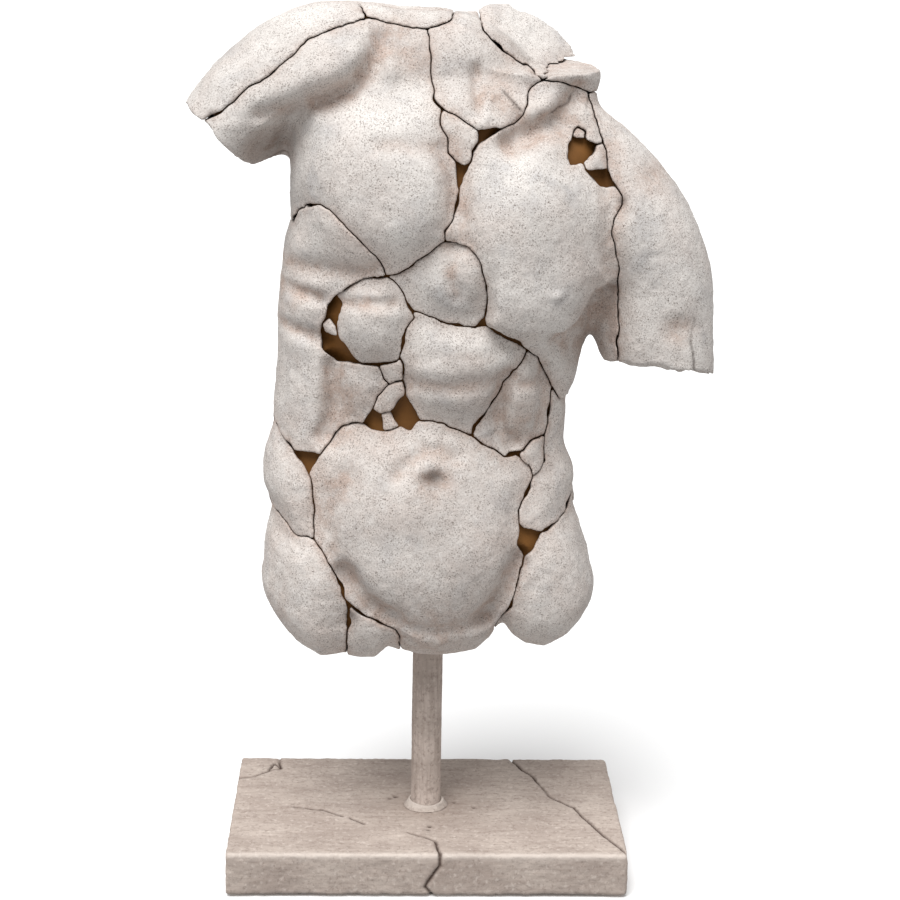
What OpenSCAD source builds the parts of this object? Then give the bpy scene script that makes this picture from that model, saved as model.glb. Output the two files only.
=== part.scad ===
// Cracked male torso on a post and slab: stone-look shards bonded on a hollow liner, all clamped by one rod.
// The frame's origin is on the floor at the middle of the slab; +Z is up and the chest faces -Y.

/* [Base slab] */
// Width of the slab, along X
base_w = 256; // [220:1:300]
// Depth of the slab, along Y
base_d = 153; // [120:1:180]
// Thickness of the slab
base_t = 28.5; // [20:0.5:40]
// Radius of the slab's upright corners
base_r = 4; // [1:0.5:10]
// Thickness of the foam pad glued under the slab
pad_t = 1.5; // [1:0.5:4]

/* [Post and rod] */
// Outside diameter of the post
post_d = 20; // [14:0.5:24]
// Diameter of the threaded rod inside the post
rod_d = 9.6; // [8:0.1:10]
// Height of the cement bead round the foot of the post
bead_h = 6; // [3:0.5:10]

/* [Torso] */
// Rounding of the torso's lower edge
hem_r = 28; // [16:1:30]
// Thickness of the shards
shard_t = 6; // [4:0.5:8]
// Width of the cracks between shards
crack = 1; // [0.6:0.1:2]
// Space between the shards and the liner, filled by adhesive
bond = 1.8; // [1:0.1:3]
// Wall thickness of the hollow liner
liner_t = 3; // [2:0.5:5]

/* [Hidden] */
// Grid of a skin: rings up the trunk, points round it, rings along a limb, points round it
fine = [38, 44, 10, 22];
coarse = [23, 28, 6, 14];
squareness = 2.4;  // superellipse exponent of the trunk's sections
trunk_top = 512;
trunk_top_r = 30;
far = 320;         // well past the torso in every direction
liner_gap = 0.2;   // between the liner's two halves
fit = 0.3;         // clearance of a part that slips over another
pad_inset = 6;     // from the slab's edges to the foam pad's
bead_foot = 6;     // how far the cement bead spreads from the post at the slab
bead_lip = 1.5;    // and at the bead's top
steel = "silver";
stone = "gainsboro";
slab_z = pad_t;
slab_top = slab_z + base_t;
table_top = 27;                     // the torso's tables below count heights with the slab's top here
lift = slab_top - table_top;
torso_z = 141;                      // the torso's underside, counted like its tables
liner_in = shard_t + bond;          // how far the liner's outside lies inside the torso's skin
floor_z = torso_z + liner_in + lift;   // underside of the liner, above the floor
plate_z = floor_z + liner_t;        // the clamp plate stands on the liner's floor
plate_t = 5;
plate_d = 46;
washer_t = 2;
washer_d = 22;
nut_t = 8;
nut_across = 17;
recess_d = 30;
recess_h = 13;                      // the lower nut and washer hide in it
rod_low = slab_z + 1;
rod_high = plate_z + plate_t + washer_t + nut_t + 6;
rod_hole = rod_d + 0.8;
thread_fit = 0.1;
lower_washer_z = slab_z + recess_h - washer_t;

// --- Shape of the torso -------------------------------------------------------------------
// Trunk sections from the hips up: height, right side x, left side x, chest y, back y
trunk = [
    [136, -111, 110, -53, 58], [178, -111, 110, -56, 60], [205, -106, 103.5, -57, 58],
    [232, -105, 95.5, -55, 53], [259, -106, 91.5, -52, 48], [282, -102.5, 84, -50, 45],
    [307, -99, 84.5, -49, 44], [337, -98, 93, -52, 47], [365, -96.5, 99, -55, 51],
    [400, -93, 102, -57, 55], [430, -89.5, 104, -57, 57], [460, -88.5, 103, -54, 56],
    [490, -86, 98, -46, 50], [515, -80, 88, -38, 43]
];

// Limb centre lines: station, x, y, z, radius in the front plane, radius in depth
arm_right = [
    [0, 38, 8, 502, 42, 34], [1, -20, 9, 506, 43, 38], [2, -68, 6, 505, 45, 44],
    [3, -106, 0, 490, 39.5, 40], [4, -138, -5, 469, 30.5, 34]
];
arm_left = [
    [0, 40, 8, 478, 36, 36], [1, 84, 6, 458, 38, 41], [2, 117, 2, 424, 38.5, 41],
    [3, 137, -2, 388, 37, 38], [4, 147, -6, 318, 31.5, 33]
];
neck = [[0, 50, 12, 466, 46, 40], [1, 57.5, 10, 508, 44, 38], [2, 59, 8, 551, 45.5, 38]];

// The limbs are broken off along these planes: a point, then the direction that is broken away.
// The neck is broken along a steep face and a ledge that starts where the steep face ends.
arm_right_break = [[[-134.5, 0, 471.5], [-0.69, 0, -0.72]]];
arm_left_break = [[[148, 0, 328], [0.05, -0.25, -0.97]]];
neck_break = [[[45, 45, 551], [0.44, -0.58, 0.81]], [[61, 0, 513.5], [-0.12, -0.1, 0.98]]];

// Swellings and hollows: x, z, half width, half height, rise, turn, 1 for a soft mound or 2 for a plateau
front_relief = [
    [-40, 447, 48, 42, 14, -8, 2],    // right chest muscle
    [63, 413, 50, 46, 16, -16, 2],    // left chest muscle
    [11, 392, 15, 20, 4, 0, 2],       // foot of the breastbone
    [-38, 364, 20, 24, 8, 0, 2],      // right rib lobe
    [17, 334, 34, 28, 9, 0, 2],       // upper abdomen
    [57, 316, 15, 30, 4, 15, 2],      // left abdomen
    [-8, 232, 58, 60, 13, 0, 2],      // belly
    [-88, 256, 14, 26, 4, 0, 2],      // right hip side
    [-84, 190, 28, 40, 6, 0, 2],      // right hip
    [80, 200, 26, 40, 6, 0, 2],       // left hip
    [-104, 503, 38, 24, 6, 36, 1],    // right shoulder muscle
    [-58, 503, 30, 8, -7, 20, 1],     // furrow between shoulder and chest
    [132, 425, 22, 40, 4, 20, 1],     // left shoulder muscle
    [106, 440, 8, 50, -5, 0, 1],      // furrow between left arm and chest
    [74, 486, 18, 9, -7, -20, 1],     // hollow under the left collarbone
    [38, 504, 14, 14, -8, 0, 1],      // pit of the throat
    [12, 446, 8, 40, -5, 8, 1],       // breastbone furrow
    [-62, 322, 9, 34, -4, 0, 1]       // right flank furrow
];
back_relief = [
    [-46, 452, 34, 44, 9, 10, 2],     // right shoulder blade
    [64, 424, 32, 44, 9, -12, 2],     // left shoulder blade
    [6, 400, 9, 110, -6, 2, 1],       // spine
    [0, 290, 9, 60, -5, 0, 1],        // small of the back
    [-48, 186, 42, 48, 12, 0, 2],     // right buttock
    [50, 184, 42, 48, 12, 0, 2],      // left buttock
    [1, 180, 8, 46, -8, 0, 1]         // cleft
];

function total(v) = v * [for (x = v) 1];
function ease(u) = let (v = min(max(u, 0), 1)) v * v * (3 - 2 * v);

// Smooth curve through rows that start with their station
function cubic(rows, i, s) =
    let (a = rows[i], b = rows[i + 1], p = rows[max(i - 1, 0)], q = rows[min(i + 2, len(rows) - 1)],
         h = b[0] - a[0], u = (s - a[0]) / h,
         ma = (b - p) * h / (b[0] - p[0]), mb = (q - a) * h / (q[0] - a[0]))
    (2 * u ^ 3 - 3 * u ^ 2 + 1) * a + (u ^ 3 - 2 * u ^ 2 + u) * ma
    + (3 * u ^ 2 - 2 * u ^ 3) * b + (u ^ 3 - u ^ 2) * mb;
function row_at(rows, s, i = 0) =
    i >= len(rows) - 2 || s <= rows[i + 1][0] ? cubic(rows, i, s) : row_at(rows, s, i + 1);

// Height of one swelling over a point of the front view
function mound(b, x, z) =
    let (dx = x - b[0], dz = z - b[1],
         across = (dx * cos(b[5]) + dz * sin(b[5])) / b[2],
         along = (dz * cos(b[5]) - dx * sin(b[5])) / b[3])
    b[4] * exp(-(across ^ 2 + along ^ 2) ^ b[6]);
function relief(x, z, front) = total([for (b = front ? front_relief : back_relief) mound(b, x, z)]);

// A skin point: the relief pushes it out along Y, fading towards the sides
function raised(x, y, z, depth) =
    let (w = ease(abs(y) / (0.75 * depth)), h = relief(x, z, y < 0))
    [x, y + (y < 0 ? -w * h : w * h), z];

function power(c) = sign(c) * abs(c) ^ (2 / squareness);

// How much a section shrinks near a rounded end, from the distance to that end
function end_shrink(d, r) = d >= r ? 0 : r - sqrt(max(r ^ 2 - (r - max(d, 0)) ^ 2, 0));

function trunk_ring(z, inset, sides) =
    let (s = row_at(trunk, z),
         cut = inset + end_shrink(z - torso_z - inset, hem_r - inset)
                     + end_shrink(trunk_top - inset - z, trunk_top_r - inset),
         cx = (s[1] + s[2]) / 2, a = (s[2] - s[1]) / 2 - cut)
    [for (i = [0:sides - 1]) let (t = 360 * i / sides, b = (sin(t) < 0 ? -s[3] : s[4]) - cut)
        raised(cx + a * power(cos(t)), b * power(sin(t)), z, b)];

// Heights of the trunk's rings, closer together at the two rounded ends
function trunk_heights(inset, rings) =
    let (lo = torso_z + inset, hi = trunk_top - inset, r = hem_r - inset, q = trunk_top_r - inset,
         ends = 5, n = rings - 2 * ends)
    concat([for (i = [0:ends - 1]) lo + r * (1 - cos(90 * i / ends))],
           [for (i = [0:n - 1]) lo + r + (hi - q - lo - r) * i / (n - 1)],
           [for (i = [1:ends]) hi - q + q * sin(90 * i / ends) * 0.995]);

function limb_point(row) = [row[1], row[2], row[3]];
function limb_ring(rows, s, inset, back, limb_sides) =
    let (e = 0.02, m = len(rows) - 1, r = row_at(rows, s),
         ahead = limb_point(row_at(rows, min(s + e, m))), behind = limb_point(row_at(rows, max(s - e, 0))),
         d = ahead - behind, n = norm([d[0], d[2]]), dir = [d[0] / n, 0, d[2] / n],
         side = [dir[2], 0, -dir[0]], c = limb_point(r) - back * dir, ry = r[5] - inset)
    [for (i = [0:limb_sides - 1]) let (t = 360 * i / limb_sides,
        p = c + side * (r[4] - inset) * cos(t), y = ry * sin(t),
        q = raised(p[0], y, p[2], ry)) [q[0], c[1] + q[1], q[2]]];

// Closed skin over rings of equal length
module skin(r) {
    n = len(r[0]);
    m = len(r);
    sides_faces = [for (k = [0:m - 2], i = [0:n - 1]) let (a = k * n + i, b = k * n + (i + 1) % n)
        each [[a, a + n, b], [b, a + n, b + n]]];
    caps = [[for (i = [0:n - 1]) i], [for (i = [n - 1:-1:0]) (m - 1) * n + i]];
    polyhedron([for (k = r) each k], concat(sides_faces, caps), convexity = 6);
}

module limb(rows, inset, grid) {
    last = len(rows) - 1;
    n = grid[2];
    skin([for (k = [0:n]) limb_ring(rows, last * k / n, inset, k == n ? inset : 0, grid[3])]);
}

// All the space beyond a plane
module beyond(point, dir) {
    translate(point) rotate([0, acos(dir[2]), atan2(dir[1], dir[0])]) translate([-far, -far, 0]) cube(2 * far);
}

// A limb without what lies beyond all the faces of its break
module broken(rows, faces, inset, grid) {
    difference() {
        limb(rows, inset, grid);
        intersection_for(face = faces) {
            dir = face[1] / norm(face[1]);
            beyond(face[0] - inset * dir, dir);
        }
    }
}

// The torso with its skin moved in by inset
module body(inset, grid) {
    skin([for (z = trunk_heights(inset, grid[0])) trunk_ring(z, inset, grid[1])]);
    broken(arm_right, arm_right_break, inset, grid);
    broken(arm_left, arm_left_break, inset, grid);
    broken(neck, neck_break, inset, grid);
}

// The seam where front shards meet back shards wanders a little in depth
function seam_y(z) = 9 + 4 * sin(z * 7) + 2 * sin(z * 19);

// All the space on one side of the seam: -1 is the front, 1 is the back
module half(side, gap) {
    edge = [for (z = [100:10:600]) [seam_y(z) + side * gap / 2, z]];
    rotate([90, 0, 90]) linear_extrude(2 * far, center = true)
        polygon(concat([[side * far, 100]], edge, [[side * far, 600]]));
}

// --- Cracks, as points in the front view, x and z -------------------------------------------
function rev(v) = [for (i = [len(v) - 1:-1:0]) v[i]];

// Shoulders and neck
stump_crack = [[-190, 470], [-142, 481], [-128, 489], [-112, 503], [-105, 506], [-96, 514], [-87, 521],
               [-75, 531], [-60, 537], [-52, 540], [-42, 542]];
cap_crack = [[-42, 542], [-47, 549], [-50, 600]];
trapezius_crack = [[-42, 542], [-35, 542], [-20, 538], [-5, 536]];
trapezius_end = [[-5, 536], [8, 541], [14, 549], [16, 600]];
throat_crack = [[-5, 536], [-4, 521], [-3, 508], [-2, 498], [3, 492]];
neck_crack = [[21, 600], [23, 547], [27, 543], [28, 537], [34, 531], [41, 524], [48, 519], [56, 514.5],
              [63, 508.5]];
neck_ledge = [[63, 508.5], [67, 511.5], [71, 514], [79.5, 514.5], [87, 515.5], [95, 516.5], [107, 517.5]];
collar_near = [[63, 508.5], [72.5, 508.5], [78.5, 507], [84.5, 504]];
collar_far = [[84.5, 504], [92, 500.5]];
collar_crack = concat(collar_near, collar_far);
throat_side = [[63, 508.5], [57, 505], [54.5, 500], [54.5, 494], [52, 489], [46, 483], [39, 481]];
throat_foot = [[24, 481], [20, 484], [14, 488], [3, 492]];
arm_strip = [[95, 492], [95.5, 486], [98.5, 479], [101.5, 471]];
arm_top = concat([[92, 500.5]], arm_strip, [[103.5, 465], [103, 456]]);
arm_crack = [[109, 446.5], [112, 441], [112.5, 436], [108, 428], [106, 420], [109, 409], [112, 401], [113, 388],
             [114, 375], [115, 350], [117, 300]];

// Chest
chest_middle = [[3, 492], [2, 484], [6, 476], [7, 467], [12, 461]];
chip_left = [[25, 473], [21, 468], [20, 462]];
sternum_crack = [[14, 447], [12, 438], [10, 429], [6, 422], [7, 415]];
breast_right = [[7, 415], [0, 412], [-7, 407], [-14, 401], [-21, 396], [-28, 394]];
rib_line = [[-28, 394], [-34, 404], [-40, 411], [-47, 418], [-57, 427], [-63, 433], [-70, 435], [-77, 434],
            [-83, 428], [-86, 420], [-140, 408]];
breast_left = [[7, 415], [12, 415], [20, 413], [27, 404], [29, 396], [31, 385], [32, 377], [30, 369]];
breast_fold = [[31, 364], [38, 360], [43, 357], [52, 353], [57, 347]];
crumb_edge = [[90.5, 474.5], [91, 478], [88.7, 480], [86, 481.5], [83, 479.5], [82.5, 475.5]];
shoulder_hole = concat([[97, 471], [93.5, 473]], crumb_edge, [[79.5, 471], [79, 464], [80, 460.5],
    [84, 459.5], [88, 461.5], [89.5, 459], [90, 457], [92, 454.5], [95, 451], [98.5, 447.5], [103, 446.5]]);

// Ribs and abdomen
midline_top = [[-28, 394], [-22, 388], [-16, 378]];
arch = [[-12, 373], [-3, 369], [8, 366], [17, 364], [24, 364]];
midline = [[-13, 369], [-17, 362], [-20, 349], [-20, 344]];
lobe_foot = [[-20, 344], [-22, 341], [-36, 339], [-45, 339]];
lobe_side = [[-45, 339], [-50, 345], [-54, 350], [-58, 355], [-59, 362], [-59, 368], [-56, 375], [-59, 380]];
lobe_top = [[-59, 380], [-51, 387], [-43, 392], [-28, 394]];
oblique_crack = [[57, 347], [54, 340], [49, 335], [43, 327], [41, 321], [36, 311], [31, 305], [26, 300],
                 [24, 294]];
lat_crack = [[57, 347], [64, 343], [66, 338], [70, 331], [74, 321]];
lat_end = [[74, 321], [80, 312], [120, 303]];
waist_left = [[74, 321], [73, 306], [72, 299], [70, 290]];
side_top = [[70, 290], [63, 288], [57, 282], [54, 281]];
side_outer = [[70, 290], [70, 286], [71, 272], [68, 268], [63, 265]];
chip_column = [[-34, 338], [-31, 331], [-27, 326], [-33, 319], [-37, 310]];

// Belly and hips
belly_left = [[-8, 304], [1, 303], [9, 300], [24, 294]];
belly_right = [[24, 294], [33, 288], [44, 279], [54, 281]];
belly_side = [[54, 281], [57, 276], [62, 269], [63, 265]];
belly_hip = [[63, 265], [58, 254], [55, 246], [55, 237]];
groin_left = [[58, 216], [56, 205], [53, 196], [50, 184], [47, 179], [43, 174], [41, 165], [38, 100]];
groin_right = [[-17, 100], [-19, 162], [-22, 170], [-33, 175], [-44, 181], [-50, 185]];
groin_upper = [[-53, 189], [-56, 198], [-60, 207], [-66, 217], [-72, 225]];
belly_flank = [[-72, 225], [-73, 239], [-72, 249], [-74, 258], [-76, 266]];
flank_foot = [[-42, 300], [-50, 299], [-56, 296], [-62, 288], [-69, 280]];
flank_end = [[-85, 280], [-94, 288], [-100, 296], [-140, 300]];
hip_right_top = [[-72, 225], [-76, 226], [-82, 226], [-86, 227], [-91, 232], [-99, 238], [-140, 243]];
hip_left_top = [[69, 230], [76, 233], [86, 240], [90, 248], [130, 256]];
groin_edge = [[-51, 176], [-52, 165], [-52, 100]];

// Front shards: name and outline
front_shards = [
    ["shoulder_cap_right", concat(stump_crack, cap_crack, [[-250, 600], [-250, 470]])],
    ["trapezius_right", concat(trapezius_crack, trapezius_end, rev(cap_crack))],
    ["chest_right", concat(stump_crack, trapezius_crack, throat_crack, chest_middle, sternum_crack,
        breast_right, rib_line, [[-190, 440]])],
    ["sternum_chip", concat(rev(throat_foot), chip_left, [[18, 460]], rev(chest_middle))],
    ["chest_left", concat(collar_crack, arm_strip, shoulder_hole, arm_crack,
        rev(lat_end), rev(lat_crack), rev(breast_fold), rev(breast_left), rev(sternum_crack), [[20, 462]],
        rev(chip_left), [[30, 476], [39, 481]], rev(throat_side))],
    ["shoulder_chip_left", [[97, 471], [101.5, 471], [103.5, 465], [103, 456], [95, 456], [90.3, 457],
        [88.3, 461.5], [92, 465], [95.5, 467.5]]],
    ["shoulder_crumb_left", crumb_edge],
    ["arm_left", concat(arm_top, arm_crack, [[220, 300], [220, 520], [107, 517.5], [106, 499]])],
    ["sternum_low", concat(breast_left, rev(arch), rev(midline_top), rev(breast_right))],
    ["rib_lobe_right", concat(midline_top, midline, lobe_foot, lobe_side, lobe_top)],
    ["rib_chip_right", [[-67, 361], [-64, 366], [-59, 361], [-58, 355], [-66, 355]]],
    ["flank_right", concat(rib_line, rev(flank_end), rev(flank_foot), rev(chip_column), [[-45, 339], [-59, 338],
        [-66, 345], [-68, 355], [-67, 361], [-65, 372]], lobe_top)],
    ["flank_chip_upper", [[-34, 338], [-22, 341], [-20, 344], [-18, 339], [-18, 329], [-27, 326], [-31, 331]]],
    ["flank_chip_middle", [[-27, 326], [-18, 329], [-17, 319], [-26, 309], [-32, 307], [-37, 310], [-33, 319]]],
    ["flank_chip_lower", [[-32, 307], [-26, 309], [-20, 300], [-30, 297]]],
    ["abdomen_upper", concat([[-14, 371]], arch, breast_fold, oblique_crack, rev(belly_left), [[-17, 319],
        [-18, 329], [-18, 339]], rev(midline))],
    ["abdomen_left", concat(lat_crack, waist_left, side_top, rev(belly_right), rev(oblique_crack))],
    ["side_chip_left", concat(side_outer, rev(belly_side), rev(side_top))],
    ["hip_side_left", concat(lat_end, [[130, 256]], rev(hip_left_top), [[57, 234], [55, 237]], rev(belly_hip),
        rev(side_outer), rev(waist_left))],
    ["hip_left", concat(hip_left_top, [[150, 100]], rev(groin_left), [[64, 222]])],
    ["belly", concat(rev(flank_foot), [[-36, 297], [-30, 297], [-20, 300], [-13, 297]], belly_left, belly_right,
        belly_side, belly_hip, [[54, 225]], groin_left, groin_right, groin_upper, belly_flank)],
    ["groin_chip", concat([[-52, 184]], rev(groin_right), rev(groin_edge))],
    ["hip_side_right", concat(rev(flank_end), rev(belly_flank), hip_right_top)],
    ["hip_right", concat(hip_right_top, [[-150, 100]], rev(groin_edge), groin_upper)]
];

// Shards round the broken neck, which run from front to back
neck_shards = [
    ["throat", concat(trapezius_end, neck_crack, throat_side, throat_foot, rev(throat_crack))],
    ["neck_back", concat(neck_crack, neck_ledge, [[150, 525], [150, 600]])],
    ["neck_chip_left", concat(neck_ledge, [[106, 499]], rev(collar_crack))]
];

// Back shards: their cracks run across the spine and the two sides
spine_upper = [[3, 492], [6, 478], [12, 455], [4, 430], [8, 405]];
spine_lower = [[8, 405], [-2, 385], [4, 360], [-4, 338]];
blade_right_top = [[3, 492], [-20, 490], [-48, 498], [-78, 488]];
arm_right_back = [[-78, 488], [-100, 500], [-135, 515], [-190, 560]];
armpit_right = [[-78, 488], [-92, 468], [-150, 440]];
arm_left_back = [[98, 484], [104, 455], [98, 425], [104, 395], [103, 366]];
blade_right_foot = [[8, 405], [-30, 398], [-62, 410], [-150, 402]];
blade_left_foot = [[8, 405], [34, 396], [60, 382], [103, 366]];
waist_right_back = [[-4, 338], [-34, 330], [-60, 322], [-150, 318]];
waist_left_back = [[-4, 338], [40, 322], [74, 304], [103, 301]];
lumbar_right = [[-34, 330], [-44, 290], [-28, 258]];
lumbar_left = [[40, 322], [46, 296], [30, 262]];
lumbar_foot = [[-28, 258], [4, 250], [30, 262]];
hip_right_back = [[-28, 258], [-60, 240], [-92, 246], [-150, 238]];
hip_left_back = [[30, 262], [62, 228], [96, 238], [112, 232]];
cleft = [[4, 250], [-4, 210], [2, 170], [-2, 100]];
back_shards = [
    ["back_shoulder_right", concat(rev(trapezius_end), throat_crack, blade_right_top, arm_right_back,
        [[-190, 600]])],
    ["back_arm_right", concat(arm_right_back, [[-230, 560], [-230, 440]], rev(armpit_right))],
    ["back_blade_right", concat(blade_right_top, armpit_right, rev(blade_right_foot), rev(spine_upper))],
    ["back_blade_left", concat(rev(throat_foot), rev(throat_side), collar_near, arm_left_back,
        rev(blade_left_foot), rev(spine_upper))],
    ["back_arm_left", concat(arm_left_back, [[103, 301], [220, 300], [220, 520], [107, 517.5], [106, 499]],
        rev(collar_far))],
    ["back_rib_right", concat(spine_lower, waist_right_back, rev(blade_right_foot))],
    ["back_rib_left", concat(blade_left_foot, [[103, 301]], rev(waist_left_back), rev(spine_lower))],
    ["back_lumbar", concat(lumbar_right, lumbar_foot, rev(lumbar_left), [[-4, 338]])],
    ["back_hip_right", concat([[-34, 330], [-60, 322], [-150, 318]], rev(hip_right_back), rev(lumbar_right))],
    ["back_hip_left", concat([[40, 322], [74, 304], [103, 301]], rev(hip_left_back), rev(lumbar_left))],
    ["back_buttock_right", concat([[4, 250]], hip_right_back, [[-150, 100]], rev(cleft))],
    ["back_buttock_left", concat([[4, 250]], hip_left_back, [[150, 232], [150, 100]], rev(cleft))]
];
SHARDS = [for (list = [front_shards, neck_shards, back_shards], s = list) s[0]];

// The torso's shell under an outline, on one side of the seam or on both; resize keeps its size and makes it
// one mesh
module shard(outline, side) {
    color(stone) translate([0, 0, lift]) resize([0, 0, 0]) difference() {
        intersection() {
            difference() {
                body(0, fine);
                body(shard_t, fine);
            }
            rotate([90, 0, 0]) linear_extrude(2 * far, center = true)
                offset(delta = -crack / 2) polygon(outline);
            if (side == 0) cube(4 * far, center = true); else half(side, crack);
        }
        cylinder(h = torso_z + shard_t + 1, d = post_d + 2 * fit);
    }
}

// The brown hollow shell that the shards are bonded on, in two halves
module liner(side) {
    color("saddlebrown") translate([0, 0, lift]) resize([0, 0, 0]) difference() {
        intersection() {
            body(liner_in, coarse);
            half(side, liner_gap);
        }
        body(liner_in + liner_t, coarse);
        cylinder(h = plate_z - lift + 1, d = rod_hole);
    }
}

module rounded_square(w, d, r) {
    square([w - 2 * r, d], center = true);
    square([w, d - 2 * r], center = true);
    for (x = [-1, 1], y = [-1, 1]) translate([x * (w / 2 - r), y * (d / 2 - r)]) circle(r, $fn = 48);
}
module ring_part(z, h, d, hole, n = 64) {
    translate([0, 0, z]) difference() {
        cylinder(h = h, d = d, $fn = n);
        translate([0, 0, -1]) cylinder(h = h + 2, d = hole, $fn = 64);
    }
}
module base_slab() {
    color("tan") translate([0, 0, slab_z]) difference() {
        linear_extrude(base_t) rounded_square(base_w, base_d, base_r);
        translate([0, 0, -1]) cylinder(h = base_t + 2, d = rod_hole, $fn = 64);
        translate([0, 0, -1]) cylinder(h = recess_h + 1, d = recess_d, $fn = 64);
    }
}
module base_pad() {
    color("dimgray") linear_extrude(pad_t)
        rounded_square(base_w - 2 * pad_inset, base_d - 2 * pad_inset, base_r);
}
module post() { color("tan") ring_part(slab_top, floor_z - slab_top, post_d, rod_hole); }
module post_bead() {
    color("tan") difference() {
        translate([0, 0, slab_top])
            cylinder(h = bead_h, r1 = post_d / 2 + bead_foot, r2 = post_d / 2 + bead_lip, $fn = 64);
        cylinder(h = slab_top + bead_h + 1, d = post_d + 2 * fit, $fn = 64);
    }
}
module threaded_rod() {
    color(steel) translate([0, 0, rod_low]) cylinder(h = rod_high - rod_low, d = rod_d, $fn = 48);
}
module nut(z) { color(steel) ring_part(z, nut_t, nut_across / cos(30), rod_d + thread_fit, 6); }
module lower_washer() { color(steel) ring_part(lower_washer_z, washer_t, washer_d, rod_hole); }
module lower_nut() { nut(lower_washer_z - nut_t); }
module clamp_plate() { color(steel) ring_part(plate_z, plate_t, plate_d, rod_hole); }
module upper_washer() { color(steel) ring_part(plate_z + plate_t, washer_t, washer_d, rod_hole); }
module upper_nut() { nut(plate_z + plate_t + washer_t); }

for (s = front_shards) shard(s[1], -1);
for (s = neck_shards) shard(s[1], 0);
for (s = back_shards) shard(s[1], 1);
liner(-1);  // liner_front
liner(1);  // liner_back
base_slab();
base_pad();
post();
post_bead();
threaded_rod();
lower_washer();
lower_nut();
clamp_plate();
upper_washer();
upper_nut();
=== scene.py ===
"""Cracked torso sculpture on a post and slab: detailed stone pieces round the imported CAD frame.

The torso is one smooth field in millimetres: trunk, two arm stumps and a neck, with swellings and creases.
Each shard is that field's 6 mm shell cut along the crack lines, and replaces its CAD node.
"""
import math

import bpy
import numpy as np
import openvdb as vdb
from mathutils import Matrix, Vector


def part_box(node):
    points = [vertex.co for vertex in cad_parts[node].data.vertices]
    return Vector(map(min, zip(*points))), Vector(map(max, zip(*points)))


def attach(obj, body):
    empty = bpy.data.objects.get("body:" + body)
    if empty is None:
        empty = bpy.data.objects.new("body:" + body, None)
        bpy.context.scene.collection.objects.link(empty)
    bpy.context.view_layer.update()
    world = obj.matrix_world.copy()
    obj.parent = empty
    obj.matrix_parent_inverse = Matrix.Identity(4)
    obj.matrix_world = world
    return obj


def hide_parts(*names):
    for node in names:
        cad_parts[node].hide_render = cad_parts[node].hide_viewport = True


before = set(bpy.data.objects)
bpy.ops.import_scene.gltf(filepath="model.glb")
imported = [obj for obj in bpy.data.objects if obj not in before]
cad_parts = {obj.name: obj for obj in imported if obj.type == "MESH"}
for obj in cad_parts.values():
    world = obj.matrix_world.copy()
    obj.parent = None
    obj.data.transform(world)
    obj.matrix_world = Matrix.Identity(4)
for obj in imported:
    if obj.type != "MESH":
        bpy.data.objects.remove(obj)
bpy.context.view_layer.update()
MM = 0.001

# --- Camera, at the photograph's viewing angle ------------------------------------------------
CAMERA_AT = (-26.3, -1302.7, 629.6)   # mm
CAMERA_LENS, SENSOR = 84.66, 36       # mm
CAMERA_YAW, CAMERA_PITCH, CAMERA_ROLL = 0.0297, 0.2656, 0.0164   # radians


def make_camera():
    data = bpy.data.cameras.new("camera")
    data.lens = CAMERA_LENS
    data.sensor_width = SENSOR
    camera = bpy.data.objects.new("camera", data)
    bpy.context.scene.collection.objects.link(camera)
    turn = Matrix.Rotation(-CAMERA_YAW, 4, "Z") @ Matrix.Rotation(math.pi / 2 - CAMERA_PITCH, 4, "X")
    roll = Matrix.Rotation(CAMERA_ROLL, 4, "Z")
    camera.matrix_world = Matrix.Translation(Vector(CAMERA_AT) * MM) @ turn @ roll
    bpy.context.scene.camera = camera


make_camera()

# --- Noise ------------------------------------------------------------------------------------
LATTICE = 48                          # cells each way before the noise repeats
SEED_SHIFT = (11.3, 7.7, 5.1)         # how far one seed's noise lies from the next, in cells
_lattice = np.random.default_rng(7).uniform(-1, 1, (LATTICE, LATTICE, LATTICE)).astype(np.float32)


def noise(x, y, z, scale, seed=0):
    """Smooth noise from -1 to 1 at points in mm; scale is the size of its features."""
    def split(v, shift):
        v = np.asarray(v, np.float32) / scale + shift
        cell = np.floor(v)
        part = v - cell
        return cell.astype(np.int32) % LATTICE, part * part * (3 - 2 * part)
    (i, u), (j, v), (k, w) = (split(p, shift * seed) for p, shift in zip((x, y, z), SEED_SHIFT))
    i1, j1, k1 = (i + 1) % LATTICE, (j + 1) % LATTICE, (k + 1) % LATTICE
    g = _lattice
    a = g[i, j, k] * (1 - u) + g[i1, j, k] * u
    b = g[i, j1, k] * (1 - u) + g[i1, j1, k] * u
    c = g[i, j, k1] * (1 - u) + g[i1, j, k1] * u
    d = g[i, j1, k1] * (1 - u) + g[i1, j1, k1] * u
    return (a * (1 - v) + b * v) * (1 - w) + (c * (1 - v) + d * v) * w


def fractal(x, y, z, scale, octaves=3, seed=0):
    """Noise with finer layers added, each half the size and half the strength of the one before."""
    total, weight = 0, 1
    for k in range(octaves):
        total = total + weight * noise(x, y, z, scale / 2 ** k, seed + 3 * k)
        weight *= 0.5
    return total


def ease(u):
    """Smooth step from 0 to 1."""
    u = np.clip(u, 0, 1)
    return u * u * (3 - 2 * u)


# --- The torso's shape: close to part.scad's, with finer relief ---------------------------------
SLAB_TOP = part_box("base_slab")[1].z / MM
TABLE_TOP = 27                # the tables below count heights with the slab's top here
LIFT = SLAB_TOP - TABLE_TOP
TORSO_Z = 141
HEM_R = 28                    # rounding of the torso's lower edge
TRUNK_TOP = 512
TRUNK_TOP_R = 30
SHARD_T = 6
LINER_IN = 7.8                # the liner's outside lies this far under the skin
LINER_T = 3
POST_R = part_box("post")[1].x / MM
POST_FIT = 0.3                # between the post and what stands round it
ROD_HOLE_R = 5.2
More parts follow.
